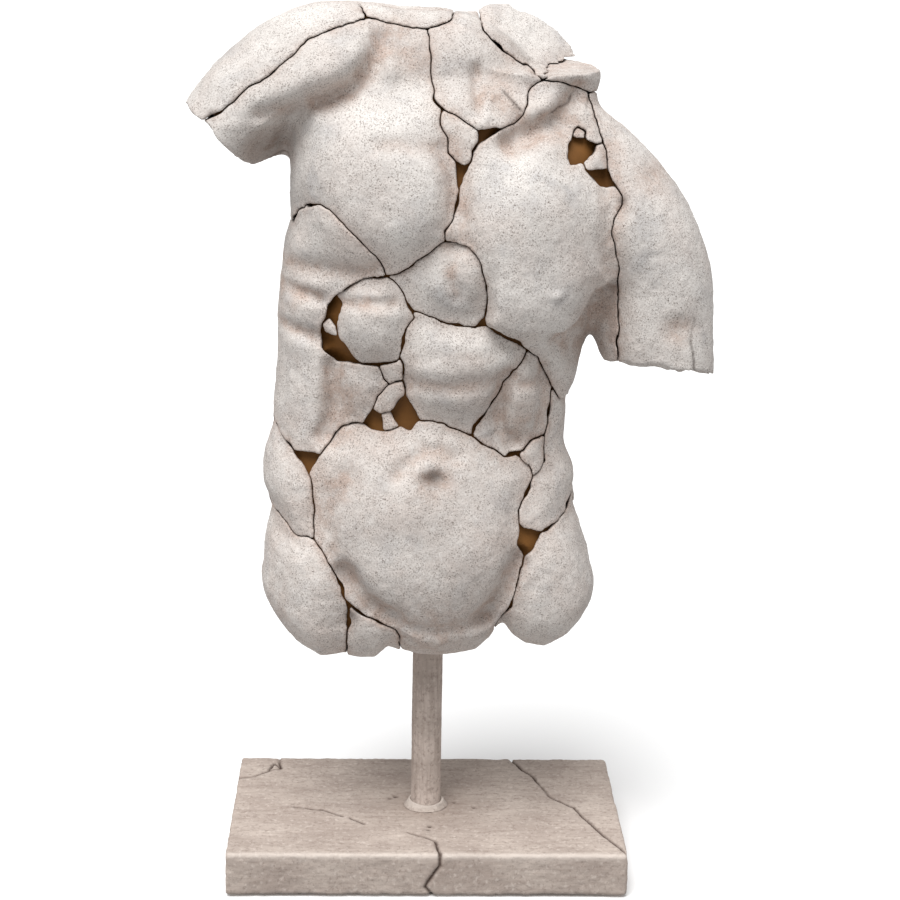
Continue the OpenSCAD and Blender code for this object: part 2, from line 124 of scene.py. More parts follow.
# Trunk sections: height, right side x, left side x, chest y, back y
TRUNK = [
    [136, -111, 110, -53, 58], [178, -111, 110, -56, 60], [205, -107, 103.5, -57, 58],
    [232, -104.5, 95.5, -55, 53], [259, -107, 92.5, -52, 48], [282, -104, 85, -50, 45],
    [307, -99.5, 87.5, -49, 44], [337, -97, 93.5, -52, 47], [365, -96.5, 99, -55, 51],
    [400, -93, 102, -57, 55], [430, -89.5, 104, -57, 57], [460, -88.5, 103, -54, 56],
    [490, -86, 98, -46, 50], [515, -80, 88, -38, 43]
]
# Limb centre lines: station, x, y, z, radius in the front plane, radius in depth
ARM_RIGHT = [
    [0, 38, 8, 488, 36, 30], [1, 10, 8.5, 503.5, 43, 36], [2, -20, 9, 506, 43, 38],
    [3, -68, 6, 505.5, 45.6, 44], [4, -105.7, 0, 489.8, 38, 40], [5, -137, -5, 467.8, 27, 34]
]
ARM_LEFT = [
    [0, 40, 8, 478, 36, 36], [1, 84, 6, 457.5, 36.5, 41], [2, 117, 2, 424, 38.5, 41],
    [3, 135.8, -2, 388, 37.3, 38], [4, 138.8, -4, 355, 37.3, 36], [5, 146.5, -6, 316, 32, 33]
]
NECK = [[0, 50, 12, 466, 46, 40], [1, 57.5, 10, 508, 44, 38], [2, 59, 8, 551, 45.5, 38]]
# Where the limbs are broken off: a point, the direction that is broken away, and the face's roughness
ARM_RIGHT_BREAK = [((-132.2, 0, 473.8), (-0.69, 0, -0.72), 1.6)]
ARM_LEFT_BREAK = [((148, 0, 328), (-0.10, -0.25, -0.96), 3.4)]
# A second face, by the armpit, takes more off the right arm's underside, and ends softly at some x
ARM_RIGHT_SCOOP = ((-103.5, -38, 480), (0.6, -0.44, -0.67), 1.4)
SCOOP_END, SCOOP_SOFT = -70, 24
# The neck broke along a steep face, and along two ledges that only start where the steep face ends
NECK_BREAK = [((45, 45, 550), (0.41, -0.58, 0.81), 1.5), ((61, 0, 512.8), (0.01, 0, 1), 0.4),
              ((30, -20, 512), (0, -0.1, 0.99), 1.2)]
NECK_TOP = ((24, 20, 547.5), (-0.2, 0, 0.98), 1.0)
# How far the torso's lower edge lies above TORSO_Z, at points along x
HEM_X = [-115, -105, -97, -85, -69, -34, -26, -16, 8, 30, 40, 47, 54, 62, 74, 89, 98, 105, 112]
HEM_RISE = [33, 25, 18, 8, -1, 0.5, 8.5, 3.5, 4, 6.5, 13, 22, 15, 10, 6.5, 11, 17.5, 23, 32]
SQUARENESS = 2.4              # power of the trunk's sections: 2 is an ellipse
RELIEF_EDGE = 0.75            # share of the depth from which the relief is in full
LEAST_SLOPE = 0.008           # keeps the distance finite at the middle of a section
LEAST_LIMB_SLOPE = 0.01
BREAK_LUMPS, BREAK_GRAINS, GRAIN_SHARE = 17, 6, 0.45   # mm and share, roughness of the broken faces
PATH_STEPS = 121              # points along a limb's centre line

# Swellings and hollows: x, z, half width, half height, rise, turn in degrees, 1 for mound or 2 for plateau
FRONT_MOUNDS = [
    [-40, 447, 48, 42, 14, -8, 2], [63, 413, 50, 46, 16, -16, 2], [11, 392, 15, 20, 4, 0, 2],
    [-38, 364, 20, 24, 8, 0, 2], [17, 334, 34, 28, 9, 0, 2], [57, 316, 15, 30, 4, 15, 2],
    [-8, 232, 58, 60, 14, 0, 2], [-88, 256, 14, 26, 4, 0, 2], [-84, 190, 28, 40, 6, 0, 2],
    [80, 200, 26, 40, 6, 0, 2], [-104, 503, 38, 24, 6, 36, 1], [-66, 513, 32, 14, 8, 24, 1],
    [132, 425, 22, 40, 4, 20, 1], [106, 440, 8, 50, -5, 0, 1], [38, 506, 14, 12, -4, 0, 1],
    [12, 446, 8, 40, -6, 8, 1], [-24, 530, 13, 13, -5, 0, 1], [-14, 428, 20, 24, 3, 0, 1],
    [73, 384, 3.2, 3.2, 2.6, 0, 1], [58, 309, 10, 16, 3, 8, 1], [-84, 318, 14, 26, 3, 0, 1],
    [-44, 318, 11, 16, 2.5, 0, 1], [1, 268.5, 7.5, 5.5, -7, 0, 1], [-84, 408, 13, 9, 3, 0, 1],
    [-86, 371, 11, 9, 3, 0, 1], [-86, 347, 11, 8, 2.5, 0, 1], [132, 451, 11, 8, -2, 0, 1],
    [150, 361, 10, 8, -2.5, 0, 1], [-97, 178, 12, 14, -2, 0, 1], [30, 222, 24, 26, 3, 0, 1],
    [99, 360, 12, 24, -10, -12, 1], [79, 480, 12, 10, -6, 0, 1], [-50, 306, 10, 18, -4, 0, 1],
    [56, 300, 9, 14, -4, 0, 1], [-18, 250, 22, 16, 2, 0, 1]
]
BACK_MOUNDS = [
    [-46, 452, 34, 44, 9, 10, 2], [64, 424, 32, 44, 9, -12, 2], [6, 400, 9, 110, -6, 2, 1],
    [0, 290, 9, 60, -5, 0, 1], [-48, 186, 42, 48, 12, 0, 2], [50, 184, 42, 48, 12, 0, 2],
    [1, 180, 8, 46, -8, 0, 1]
]
# Creases and ridges of the front, along a line: points, depth (negative is a ridge), half width
FRONT_CREASES = [
    [[[-34, 530], [-36, 522], [-41, 513], [-51, 503], [-62, 498], [-72, 495]], 10, 7],
    [[[-86, 492], [-95, 490], [-104, 488]], 5, 5.5],
    [[[-29, 522], [-26, 511]], -3, 5],
    [[[-34, 473], [-16, 472], [2, 470]], 2.5, 6],
    [[[24, 514], [24, 502], [26, 492]], 5, 4],
    [[[36, 501], [30, 494], [27, 485]], -2.5, 4.5],
    [[[36, 496], [43, 491], [48, 486]], 4.5, 6.5],
    [[[44, 472], [55, 477], [64, 482], [73, 486], [80, 494], [86, 501]], 13, 7],
    [[[-98, 398], [-80, 396], [-57, 396], [-36, 397]], 4.5, 6],
    [[[-100, 384], [-81, 380], [-70, 378]], 6, 4],
    [[[-100, 360], [-81, 356], [-70, 353]], 5.5, 4],
    [[[-54, 377], [-39, 378], [-25, 378]], 3.5, 3.5],
    [[[9, 412], [9, 397], [13, 383]], 3, 5],
    [[[-14, 327], [13, 326], [38, 330]], 3, 6],
    [[[-12, 345], [12, 347], [36, 345]], 1.2, 5],
    [[[46, 332], [43, 321], [41, 306], [42, 296], [49, 289]], 7, 5],
    [[[54, 326], [68, 328]], 3, 3.5],
    [[[68, 336], [70, 318], [67, 298]], 3.5, 4],
    [[[-61, 334], [-60, 320], [-62, 305], [-66, 292]], 8.5, 6.5],
    [[[-22, 272], [-13, 280], [-4, 286], [4, 286], [14, 281]], 3, 5],
    [[[-52, 268], [-62, 254], [-65, 238], [-61, 224], [-51, 206]], 2.5, 8],
    [[[-52, 208], [-46, 199], [-35, 187], [-22, 181]], 9, 6],
    [[[54, 214], [50, 207], [41, 190], [32, 178]], 9.5, 6],
    [[[-18, 174], [6, 170], [36, 176]], 4, 5],
    [[[78, 352], [88, 348], [96, 338]], 6, 8],
    [[[88, 360], [94, 370], [100, 379], [106, 383]], 4, 2.5]
]
SHOULDER_RIM = [[68, 490], [74, 493], [78, 495], [82, 499], [85, 503]]
BREAST_RIM = [[36, 364], [54, 361], [66, 360], [79, 359], [88, 365], [93, 373], [98, 382], [105, 386]]
# Ledges of the front: points, then how far the left side of that path stands out, and how far that reaches
FRONT_LEDGES = [[SHOULDER_RIM, 3, 14], [BREAST_RIM, 12, 24], [[[-23, 171], [-12, 165], [2, 156]], 3, 14]]
LEDGE_WIDE, LEDGE_FADE = 3.0, 5.0     # mm, across a ledge's step and past its ends
# Fine cracks that don't part a shard, in the front view
HAIRLINES = [
    [[40, 502], [46, 496], [50, 492]], SHOULDER_RIM,
    [[160, 366], [158, 354], [160, 342], [164, 325]],
    [[93, 500], [90, 490]]
]
HAIRLINE_DEEP, HAIRLINE_WIDE, HAIRLINE_WANDER = 0.6, 0.65, 1.3   # mm
HAIRLINE_DARK = 0.9
# Tan stains of the front, and painted shade under the right arm's stump (the two at x -106 and -92): x, z,
# radius
STAINS_AND_SHADE = [
    [132, 451, 10], [151, 358, 9], [-14, 517, 8], [6, 466, 7], [-60, 262, 10], [-57, 320, 9], [1, 268, 10],
    [24, 500, 6], [10, 398, 4], [-40, 380, 9], [-90, 376, 14], [4, 170, 20], [-106, 466, 14], [-92, 470, 10]
]
# Dark mortar, and painted shade in hollows and in four wide areas, of the front: x, z, radius, strength
SPOTS = [
    [1, 268.5, 6, 0.5], [-49.5, 180, 4, 0.65], [-106, 465, 12, 0.28], [-93, 470, 8, 0.26],
    [112.5, 439, 3, 0.7], [111, 384, 4, 0.3], [-134, 487, 2.5, 0.3], [101, 350, 9, 0.22], [92, 342, 9, 0.12],
    [-36, 190, 7, 0.12], [42, 188, 7, 0.15], [-58, 312, 8, 0.08], [60, 298, 6, 0.10], [78, 490, 7, 0.12],
    [47, 489, 5, 0.15], [0, 215, 60, 0.11], [15, 330, 30, 0.05], [62, 524, 28, 0.09], [-100, 510, 34, 0.08]
]


def join(*lines):
    """One line through the points of several."""
    return [p for line in lines for p in line]


def rev(line):
    """The line, run the other way."""
    return line[::-1]


def unit(v):
    """The direction as a vector of length 1."""
    return np.array(v) / np.linalg.norm(v)


# --- Cracks, as points in the front view, x and z -------------------------------------------

# Shoulders and neck
STUMP_CRACK = [[-190, 470], [-142, 481], [-128, 489], [-112, 503], [-105, 506], [-96, 514], [-87, 521],
               [-75, 531], [-60, 537], [-52, 540], [-42, 542]]
CAP_CRACK = [[-42, 542], [-47, 549], [-50, 600]]
TRAPEZIUS_CRACK = [[-42, 542], [-35, 542], [-20, 538], [-5, 536]]
TRAPEZIUS_END = [[-5, 536], [8, 541], [14, 549], [16, 600]]
THROAT_CRACK = [[-5, 536], [-4, 521], [-3, 508], [-2, 498], [3, 492]]
NECK_CRACK = [[21, 600], [23, 547], [27, 543], [28, 537], [34, 531], [41, 524], [48, 519], [56, 514.5],
              [63, 508.5]]
NECK_LEDGE = [[63, 508.5], [67, 511.5], [71, 513.6], [79.5, 514.3], [87, 514.2], [95, 514.1], [107, 514]]
COLLAR_NEAR = [[63, 508.5], [72.5, 508.5], [78.5, 507], [84.5, 504]]
COLLAR_FAR = [[84.5, 504], [92, 500.5]]
COLLAR_CRACK = join(COLLAR_NEAR, COLLAR_FAR)
THROAT_SIDE = [[63, 508.5], [57, 505], [54.5, 500], [54.5, 494], [52, 489], [46, 483], [39, 481]]
THROAT_FOOT = [[24, 481], [20, 484], [14, 488], [3, 492]]
ARM_STRIP = [[95, 492], [95.5, 486], [98.5, 479], [101.5, 471]]
ARM_TOP = join([[92, 500.5]], ARM_STRIP, [[103.5, 465], [103, 456]])
ARM_CRACK = [[109, 446.5], [112, 441], [112.5, 436], [108, 428], [106, 420], [109, 409], [112, 401],
             [113, 388], [114, 375], [115, 350], [117, 300]]
# Chest
CHEST_MIDDLE = [[3, 492], [2, 484], [6, 476], [7, 467], [12, 461]]
CHIP_LEFT = [[25, 473], [21, 468], [20, 462]]
STERNUM_CRACK = [[14, 447], [12, 438], [10, 429], [6, 422], [7, 415]]
BREAST_RIGHT = [[7, 415], [0, 412], [-7, 407], [-14, 401], [-21, 396], [-28, 394]]
RIB_LINE = [[-28, 394], [-34, 404], [-40, 411], [-47, 418], [-57, 427], [-63, 433], [-70, 435], [-77, 434],
            [-83, 428], [-86, 420], [-140, 408]]
BREAST_LEFT = [[7, 415], [12, 415], [20, 413], [27, 404], [29, 396], [31, 385], [32, 377], [30, 369]]
BREAST_FOLD = [[31, 364], [38, 360], [43, 357], [52, 353], [57, 347]]
CRUMB_EDGE = [[90.5, 474.5], [91, 478], [88.7, 480], [86, 481.5], [83, 479.5], [82.5, 475.5]]
SHOULDER_HOLE = join([[97, 471], [93.5, 473]], CRUMB_EDGE, [[79.5, 471], [79, 464], [80, 460.5],
    [84, 459.5], [88, 461.5], [89.5, 459], [90, 457], [92, 454.5], [95, 451], [98.5, 447.5], [103, 446.5]])
# Ribs and abdomen
MIDLINE_TOP = [[-28, 394], [-22, 388], [-16, 378]]
ARCH = [[-12, 373], [-3, 369], [8, 366], [17, 364], [24, 364]]
MIDLINE = [[-13, 369], [-17, 362], [-20, 349], [-20, 344]]
LOBE_FOOT = [[-20, 344], [-22, 341], [-36, 339], [-45, 339]]
LOBE_SIDE = [[-45, 339], [-50, 345], [-54, 350], [-58, 355], [-59, 362], [-59, 368], [-56, 375], [-59, 380]]
LOBE_TOP = [[-59, 380], [-51, 387], [-43, 392], [-28, 394]]
OBLIQUE_CRACK = [[57, 347], [54, 340], [49, 335], [43, 327], [41, 321], [36, 311], [31, 305], [26, 300],
                 [24, 294]]
LAT_CRACK = [[57, 347], [64, 343], [66, 338], [70, 331], [74, 321]]
LAT_END = [[74, 321], [80, 312], [120, 303]]
WAIST_LEFT = [[74, 321], [73, 306], [72, 299], [70, 290]]
SIDE_TOP = [[70, 290], [63, 288], [57, 282], [54, 281]]
SIDE_OUTER = [[70, 290], [70, 286], [71, 272], [68, 268], [63, 265]]
CHIP_COLUMN = [[-34, 338], [-31, 331], [-27, 326], [-33, 319], [-37, 310]]
# Belly and hips
BELLY_LEFT = [[-8, 304], [1, 303], [9, 300], [24, 294]]
BELLY_RIGHT = [[24, 294], [33, 288], [44, 279], [54, 281]]
BELLY_SIDE = [[54, 281], [57, 276], [62, 269], [63, 265]]
BELLY_HIP = [[63, 265], [58, 254], [55, 246], [55, 237]]
GROIN_LEFT = [[58, 216], [56, 205], [53, 196], [50, 184], [47, 179], [43, 174], [41, 165], [38, 100]]
GROIN_RIGHT = [[-17, 100], [-19, 162], [-22, 170], [-33, 175], [-44, 181], [-50, 185]]
GROIN_UPPER = [[-53, 189], [-56, 198], [-60, 207], [-66, 217], [-72, 225]]
BELLY_FLANK = [[-72, 225], [-73, 239], [-72, 249], [-74, 258], [-76, 266]]
FLANK_FOOT = [[-42, 300], [-50, 299], [-56, 296], [-62, 288], [-69, 280]]
FLANK_END = [[-85, 280], [-94, 288], [-100, 296], [-140, 300]]
HIP_RIGHT_TOP = [[-72, 225], [-76, 226], [-82, 226], [-86, 227], [-91, 232], [-99, 238], [-140, 243]]
HIP_LEFT_TOP = [[69, 230], [76, 233], [86, 240], [90, 248], [130, 256]]
GROIN_EDGE = [[-51, 176], [-52, 165], [-52, 100]]
# Front shards: name and outline
FRONT_SHARDS = [
    ["shoulder_cap_right", join(STUMP_CRACK, CAP_CRACK, [[-250, 600], [-250, 470]])],
    ["trapezius_right", join(TRAPEZIUS_CRACK, TRAPEZIUS_END, rev(CAP_CRACK))],
    ["chest_right", join(STUMP_CRACK, TRAPEZIUS_CRACK, THROAT_CRACK, CHEST_MIDDLE, STERNUM_CRACK,
        BREAST_RIGHT, RIB_LINE, [[-190, 440]])],
    ["sternum_chip", join(rev(THROAT_FOOT), CHIP_LEFT, [[18, 460]], rev(CHEST_MIDDLE))],
    ["chest_left", join(COLLAR_CRACK, ARM_STRIP, SHOULDER_HOLE, ARM_CRACK,
        rev(LAT_END), rev(LAT_CRACK), rev(BREAST_FOLD), rev(BREAST_LEFT), rev(STERNUM_CRACK), [[20, 462]],
        rev(CHIP_LEFT), [[30, 476], [39, 481]], rev(THROAT_SIDE))],
    ["shoulder_chip_left", [[97, 471], [101.5, 471], [103.5, 465], [103, 456], [95, 456], [90.3, 457],
        [88.3, 461.5], [92, 465], [95.5, 467.5]]],
    ["shoulder_crumb_left", CRUMB_EDGE],
    ["arm_left", join(ARM_TOP, ARM_CRACK, [[220, 300], [220, 520], [107, 517.5], [106, 499]])],
    ["sternum_low", join(BREAST_LEFT, rev(ARCH), rev(MIDLINE_TOP), rev(BREAST_RIGHT))],
    ["rib_lobe_right", join(MIDLINE_TOP, MIDLINE, LOBE_FOOT, LOBE_SIDE, LOBE_TOP)],
    ["rib_chip_right", [[-67, 361], [-64, 366], [-59, 361], [-58, 355], [-66, 355]]],
    ["flank_right", join(RIB_LINE, rev(FLANK_END), rev(FLANK_FOOT), rev(CHIP_COLUMN),
        [[-45, 339], [-59, 338], [-66, 345], [-68, 355], [-67, 361], [-65, 372]], LOBE_TOP)],
    ["flank_chip_upper", [[-34, 338], [-22, 341], [-20, 344], [-18, 339], [-18, 329], [-27, 326],
        [-31, 331]]],
    ["flank_chip_middle", [[-27, 326], [-18, 329], [-17, 319], [-26, 309], [-32, 307], [-37, 310],
        [-33, 319]]],
    ["flank_chip_lower", [[-32, 307], [-26, 309], [-20, 300], [-30, 297]]],
    ["abdomen_upper", join([[-14, 371]], ARCH, BREAST_FOLD, OBLIQUE_CRACK, rev(BELLY_LEFT), [[-17, 319],
        [-18, 329], [-18, 339]], rev(MIDLINE))],
    ["abdomen_left", join(LAT_CRACK, WAIST_LEFT, SIDE_TOP, rev(BELLY_RIGHT), rev(OBLIQUE_CRACK))],
    ["side_chip_left", join(SIDE_OUTER, rev(BELLY_SIDE), rev(SIDE_TOP))],
    ["hip_side_left", join(LAT_END, [[130, 256]], rev(HIP_LEFT_TOP), [[57, 234], [55, 237]], rev(BELLY_HIP),
        rev(SIDE_OUTER), rev(WAIST_LEFT))],
    ["hip_left", join(HIP_LEFT_TOP, [[150, 100]], rev(GROIN_LEFT), [[64, 222]])],
    ["belly", join(rev(FLANK_FOOT), [[-36, 297], [-30, 297], [-20, 300], [-13, 297]], BELLY_LEFT,
        BELLY_RIGHT, BELLY_SIDE, BELLY_HIP, [[54, 225]], GROIN_LEFT, GROIN_RIGHT, GROIN_UPPER, BELLY_FLANK)],
    ["groin_chip", join([[-52, 184]], rev(GROIN_RIGHT), rev(GROIN_EDGE))],
    ["hip_side_right", join(rev(FLANK_END), rev(BELLY_FLANK), HIP_RIGHT_TOP)],
    ["hip_right", join(HIP_RIGHT_TOP, [[-150, 100]], rev(GROIN_EDGE), GROIN_UPPER)]
]
# Shards round the broken neck, which run from front to back
NECK_SHARDS = [
    ["throat", join(TRAPEZIUS_END, NECK_CRACK, THROAT_SIDE, THROAT_FOOT, rev(THROAT_CRACK))],
    ["neck_back", join(NECK_CRACK, NECK_LEDGE, [[150, 525], [150, 600]])],
    ["neck_chip_left", join(NECK_LEDGE, [[106, 499]], rev(COLLAR_CRACK))]
]
# Back shards: their cracks run across the spine and the two sides
SPINE_UPPER = [[3, 492], [6, 478], [12, 455], [4, 430], [8, 405]]
SPINE_LOWER = [[8, 405], [-2, 385], [4, 360], [-4, 338]]
BLADE_RIGHT_TOP = [[3, 492], [-20, 490], [-48, 498], [-78, 488]]
ARM_RIGHT_BACK = [[-78, 488], [-100, 500], [-135, 515], [-190, 560]]
ARMPIT_RIGHT = [[-78, 488], [-92, 468], [-150, 440]]
ARM_LEFT_BACK = [[98, 484], [104, 455], [98, 425], [104, 395], [103, 366]]
BLADE_RIGHT_FOOT = [[8, 405], [-30, 398], [-62, 410], [-150, 402]]
BLADE_LEFT_FOOT = [[8, 405], [34, 396], [60, 382], [103, 366]]
WAIST_RIGHT_BACK = [[-4, 338], [-34, 330], [-60, 322], [-150, 318]]
WAIST_LEFT_BACK = [[-4, 338], [40, 322], [74, 304], [103, 301]]
LUMBAR_RIGHT = [[-34, 330], [-44, 290], [-28, 258]]
LUMBAR_LEFT = [[40, 322], [46, 296], [30, 262]]
LUMBAR_FOOT = [[-28, 258], [4, 250], [30, 262]]
HIP_RIGHT_BACK = [[-28, 258], [-60, 240], [-92, 246], [-150, 238]]
HIP_LEFT_BACK = [[30, 262], [62, 228], [96, 238], [112, 232]]
CLEFT = [[4, 250], [-4, 210], [2, 170], [-2, 100]]
BACK_SHARDS = [
    ["back_shoulder_right", join(rev(TRAPEZIUS_END), THROAT_CRACK, BLADE_RIGHT_TOP, ARM_RIGHT_BACK,
        [[-190, 600]])],
    ["back_arm_right", join(ARM_RIGHT_BACK, [[-230, 560], [-230, 440]], rev(ARMPIT_RIGHT))],
    ["back_blade_right", join(BLADE_RIGHT_TOP, ARMPIT_RIGHT, rev(BLADE_RIGHT_FOOT), rev(SPINE_UPPER))],
    ["back_blade_left", join(rev(THROAT_FOOT), rev(THROAT_SIDE), COLLAR_NEAR, ARM_LEFT_BACK,
        rev(BLADE_LEFT_FOOT), rev(SPINE_UPPER))],
    ["back_arm_left", join(ARM_LEFT_BACK, [[103, 301], [220, 300], [220, 520], [107, 517.5], [106, 499]],
        rev(COLLAR_FAR))],
    ["back_rib_right", join(SPINE_LOWER, WAIST_RIGHT_BACK, rev(BLADE_RIGHT_FOOT))],
    ["back_rib_left", join(BLADE_LEFT_FOOT, [[103, 301]], rev(WAIST_LEFT_BACK), rev(SPINE_LOWER))],
    ["back_lumbar", join(LUMBAR_RIGHT, LUMBAR_FOOT, rev(LUMBAR_LEFT), [[-4, 338]])],
    ["back_hip_right", join([[-34, 330], [-60, 322], [-150, 318]], rev(HIP_RIGHT_BACK), rev(LUMBAR_RIGHT))],
    ["back_hip_left", join([[40, 322], [74, 304], [103, 301]], rev(HIP_LEFT_BACK), rev(LUMBAR_LEFT))],
    ["back_buttock_right", join([[4, 250]], HIP_RIGHT_BACK, [[-150, 100]], rev(CLEFT))],
    ["back_buttock_left", join([[4, 250]], HIP_LEFT_BACK, [[150, 232], [150, 100]], rev(CLEFT))]
]

# --- Fields on one lattice --------------------------------------------------------------------
STEP = 1.0          # mm between lattice points
LATTICE_LOW = np.array([-166.0, -84.0, 128.0])
LATTICE_HIGH = np.array([192.0, 80.0, 564.0])
AXES = [np.arange(lo, hi + STEP / 2, STEP, dtype=np.float32) for lo, hi in zip(LATTICE_LOW, LATTICE_HIGH)]
GX, GY, GZ = AXES[0][:, None, None], AXES[1][None, :, None], AXES[2][None, None, :]
MAP_X, MAP_Z = np.meshgrid(AXES[0], AXES[2], indexing="ij")
BAND = 13.0                           # mm of exact distance kept on each side of the skin
MANY = 1e3                            # mm, further than anything on the lattice
TINY = 1e-9                           # keeps a line of no length from dividing by nothing


def along(rows, s):
    """Smooth curve through rows that start with their station."""
    rows = np.array(rows, np.float64)
    s = np.asarray(s, np.float64)
    i = np.clip(np.searchsorted(rows[:, 0], s) - 1, 0, len(rows) - 2)
    a, b = rows[i], rows[i + 1]
    p, q = rows[np.maximum(i - 1, 0)], rows[np.minimum(i + 2, len(rows) - 1)]
    h = (b[..., 0] - a[..., 0])[..., None]
    u = ((s - a[..., 0])[..., None]) / h
    ma = (b - p) * h / (b[..., :1] - p[..., :1])
    mb = (q - a) * h / (q[..., :1] - a[..., :1])
    return ((2 * u ** 3 - 3 * u ** 2 + 1) * a + (u ** 3 - 2 * u ** 2 + u) * ma
            + (3 * u ** 2 - 2 * u ** 3) * b + (u ** 3 - u ** 2) * mb)


def end_shrink(d, r):
    """How much a section shrinks at a distance d from an end that is rounded to r."""
    d = np.clip(d, 0, r)
    return r - np.sqrt(r * r - (r - d) ** 2)


def mounds(rows, x, z):
    """Total height of the swellings over points of the front view."""
    total = np.zeros_like(x)
    for mx, mz, wide, high, rise, turn, power in rows:
        c, s = math.cos(math.radians(turn)), math.sin(math.radians(turn))
        dx, dz = x - mx, z - mz
        r2 = ((dx * c + dz * s) / wide) ** 2 + ((dz * c - dx * s) / high) ** 2
        total += rise * np.exp(-np.minimum(r2, 50) ** power)
    return total


def line_distance(line, x, z):
    """Distance from points of the front view to a line through the given points."""
    return line_side(line, x, z)[0]


def line_side(line, x, z):
    """Distance to a line, how far left of its path a point lies, and how far it lies past the line's ends."""
    best = np.full(x.shape, MANY ** 2, np.float32)
    side, past = np.zeros(x.shape, np.float32), np.zeros(x.shape, np.float32)
    last = len(line) - 2
    for k, ((x0, z0), (x1, z1)) in enumerate(zip(line[:-1], line[1:])):
        dx, dz = x1 - x0, z1 - z0
        length = math.hypot(dx, dz)
        t = ((x - x0) * dx + (z - z0) * dz) / (dx * dx + dz * dz + TINY)
        u = np.clip(t, 0, 1)
        d = (x - x0 - u * dx) ** 2 + (z - z0 - u * dz) ** 2
        closer = d < best
        best[closer] = d[closer]
        side[closer] = ((dx * (z - z0) - dz * (x - x0)) / (length + TINY))[closer]
        over = np.where(k == 0, np.maximum(-t, 0), 0) + np.where(k == last, np.maximum(t - 1, 0), 0)
        past[closer] = (over * length)[closer]
    return np.sqrt(best), side, past


def front_height(x, z):
    """Height of the front's relief over points of the front view."""
    h = mounds(FRONT_MOUNDS, x, z)
    for line, depth, wide in FRONT_CREASES:
        h -= depth * np.exp(-(line_distance(line, x, z) / wide) ** 2)
    for line, rise, reach in FRONT_LEDGES:
        d, side, past = line_side(line, x, z)
        h += rise * np.exp(-(d / reach) ** 2 - (past / LEDGE_FADE) ** 2) * ease(0.5 + side / LEDGE_WIDE)
    return h - HAIRLINE_DEEP * hairline_map(x, z)


def hairline_map(x, z):
    """How strongly the fine cracks mark points of the front view."""
    shift = HAIRLINE_WANDER * noise(x, 0 * x, z, 4, 12)
    d = np.min([line_distance(line, x + shift, z - shift) for line in HAIRLINES], axis=0)
    return np.exp(-(d / HAIRLINE_WIDE) ** 2) * ease(noise(x, 0 * x, z, 7, 13) + 1.0)


FRONT_H = front_height(MAP_X, MAP_Z).astype(np.float32)
BACK_H = mounds(BACK_MOUNDS, MAP_X, MAP_Z).astype(np.float32)


def lifted_y(depth):
    """Y of every lattice point before the relief is added, for a limb or trunk of that depth."""
    w = ease(np.abs(GY) / (RELIEF_EDGE * depth))
    return np.where(GY < 0, GY + w * FRONT_H[:, None, :], GY - w * BACK_H[:, None, :])


def trunk_field():
    """Signed distance to the trunk: rounded sections between a wavy lower edge and a flat top."""
    s = along(TRUNK, AXES[2])
    hem = TORSO_Z + np.interp(MAP_X, HEM_X, HEM_RISE)
    cut = end_shrink(MAP_Z - hem, HEM_R) + end_shrink(TRUNK_TOP - MAP_Z, TRUNK_TOP_R)
    middle, half = (s[:, 1] + s[:, 2]) / 2, ((s[:, 2] - s[:, 1]) / 2 - cut)[:, None, :]
    front, back = (-s[:, 3] - cut)[:, None, :], (s[:, 4] - cut)[:, None, :]
    depth = np.where(GY < 0, front, back).astype(np.float32)
    n = SQUARENESS
    u = np.abs((GX - middle) / half).astype(np.float32)
    v = np.abs(lifted_y(depth) / depth).astype(np.float32)
    un, vn = u ** n, v ** n
    q = np.maximum(un + vn, 1e-6) ** (1 / n)
    slope = np.sqrt((u ** (n - 1) / half) ** 2 + (v ** (n - 1) / depth) ** 2) * np.maximum(q, 1e-3) ** (1 - n)
    f = (q - 1) / np.maximum(slope, LEAST_SLOPE)
    return np.maximum(np.maximum(f, (hem - MAP_Z)[:, None, :]), GZ - TRUNK_TOP).astype(np.float32)


def break_face(at, away, rough):
    """Signed distance to a rough plane along which a limb is broken off."""
    flat = sum(s * (g - p) for s, g, p in zip(unit(away), (GX, GY, GZ), at))
    near = np.abs(flat) < 3 * rough + STEP
    full = np.broadcast_to(flat, near.shape).astype(np.float32).copy()
    x, y, z = (np.broadcast_to(g, near.shape)[near] for g in (GX, GY, GZ))
    full[near] += rough * (noise(x, y, z, BREAK_LUMPS, 3) + GRAIN_SHARE * noise(x, y, z, BREAK_GRAINS, 8))
    return full


def nearest(path):
    """Which point of a path lies nearest to each point of the front view."""
    best = np.full(MAP_X.shape, MANY ** 2)
    where = np.zeros(MAP_X.shape, np.int32)
    for k, p in enumerate(path):
        d = (MAP_X - p[1]) ** 2 + (MAP_Z - p[3]) ** 2
        closer = d < best
        best[closer] = d[closer]
        where[closer] = k
    return where


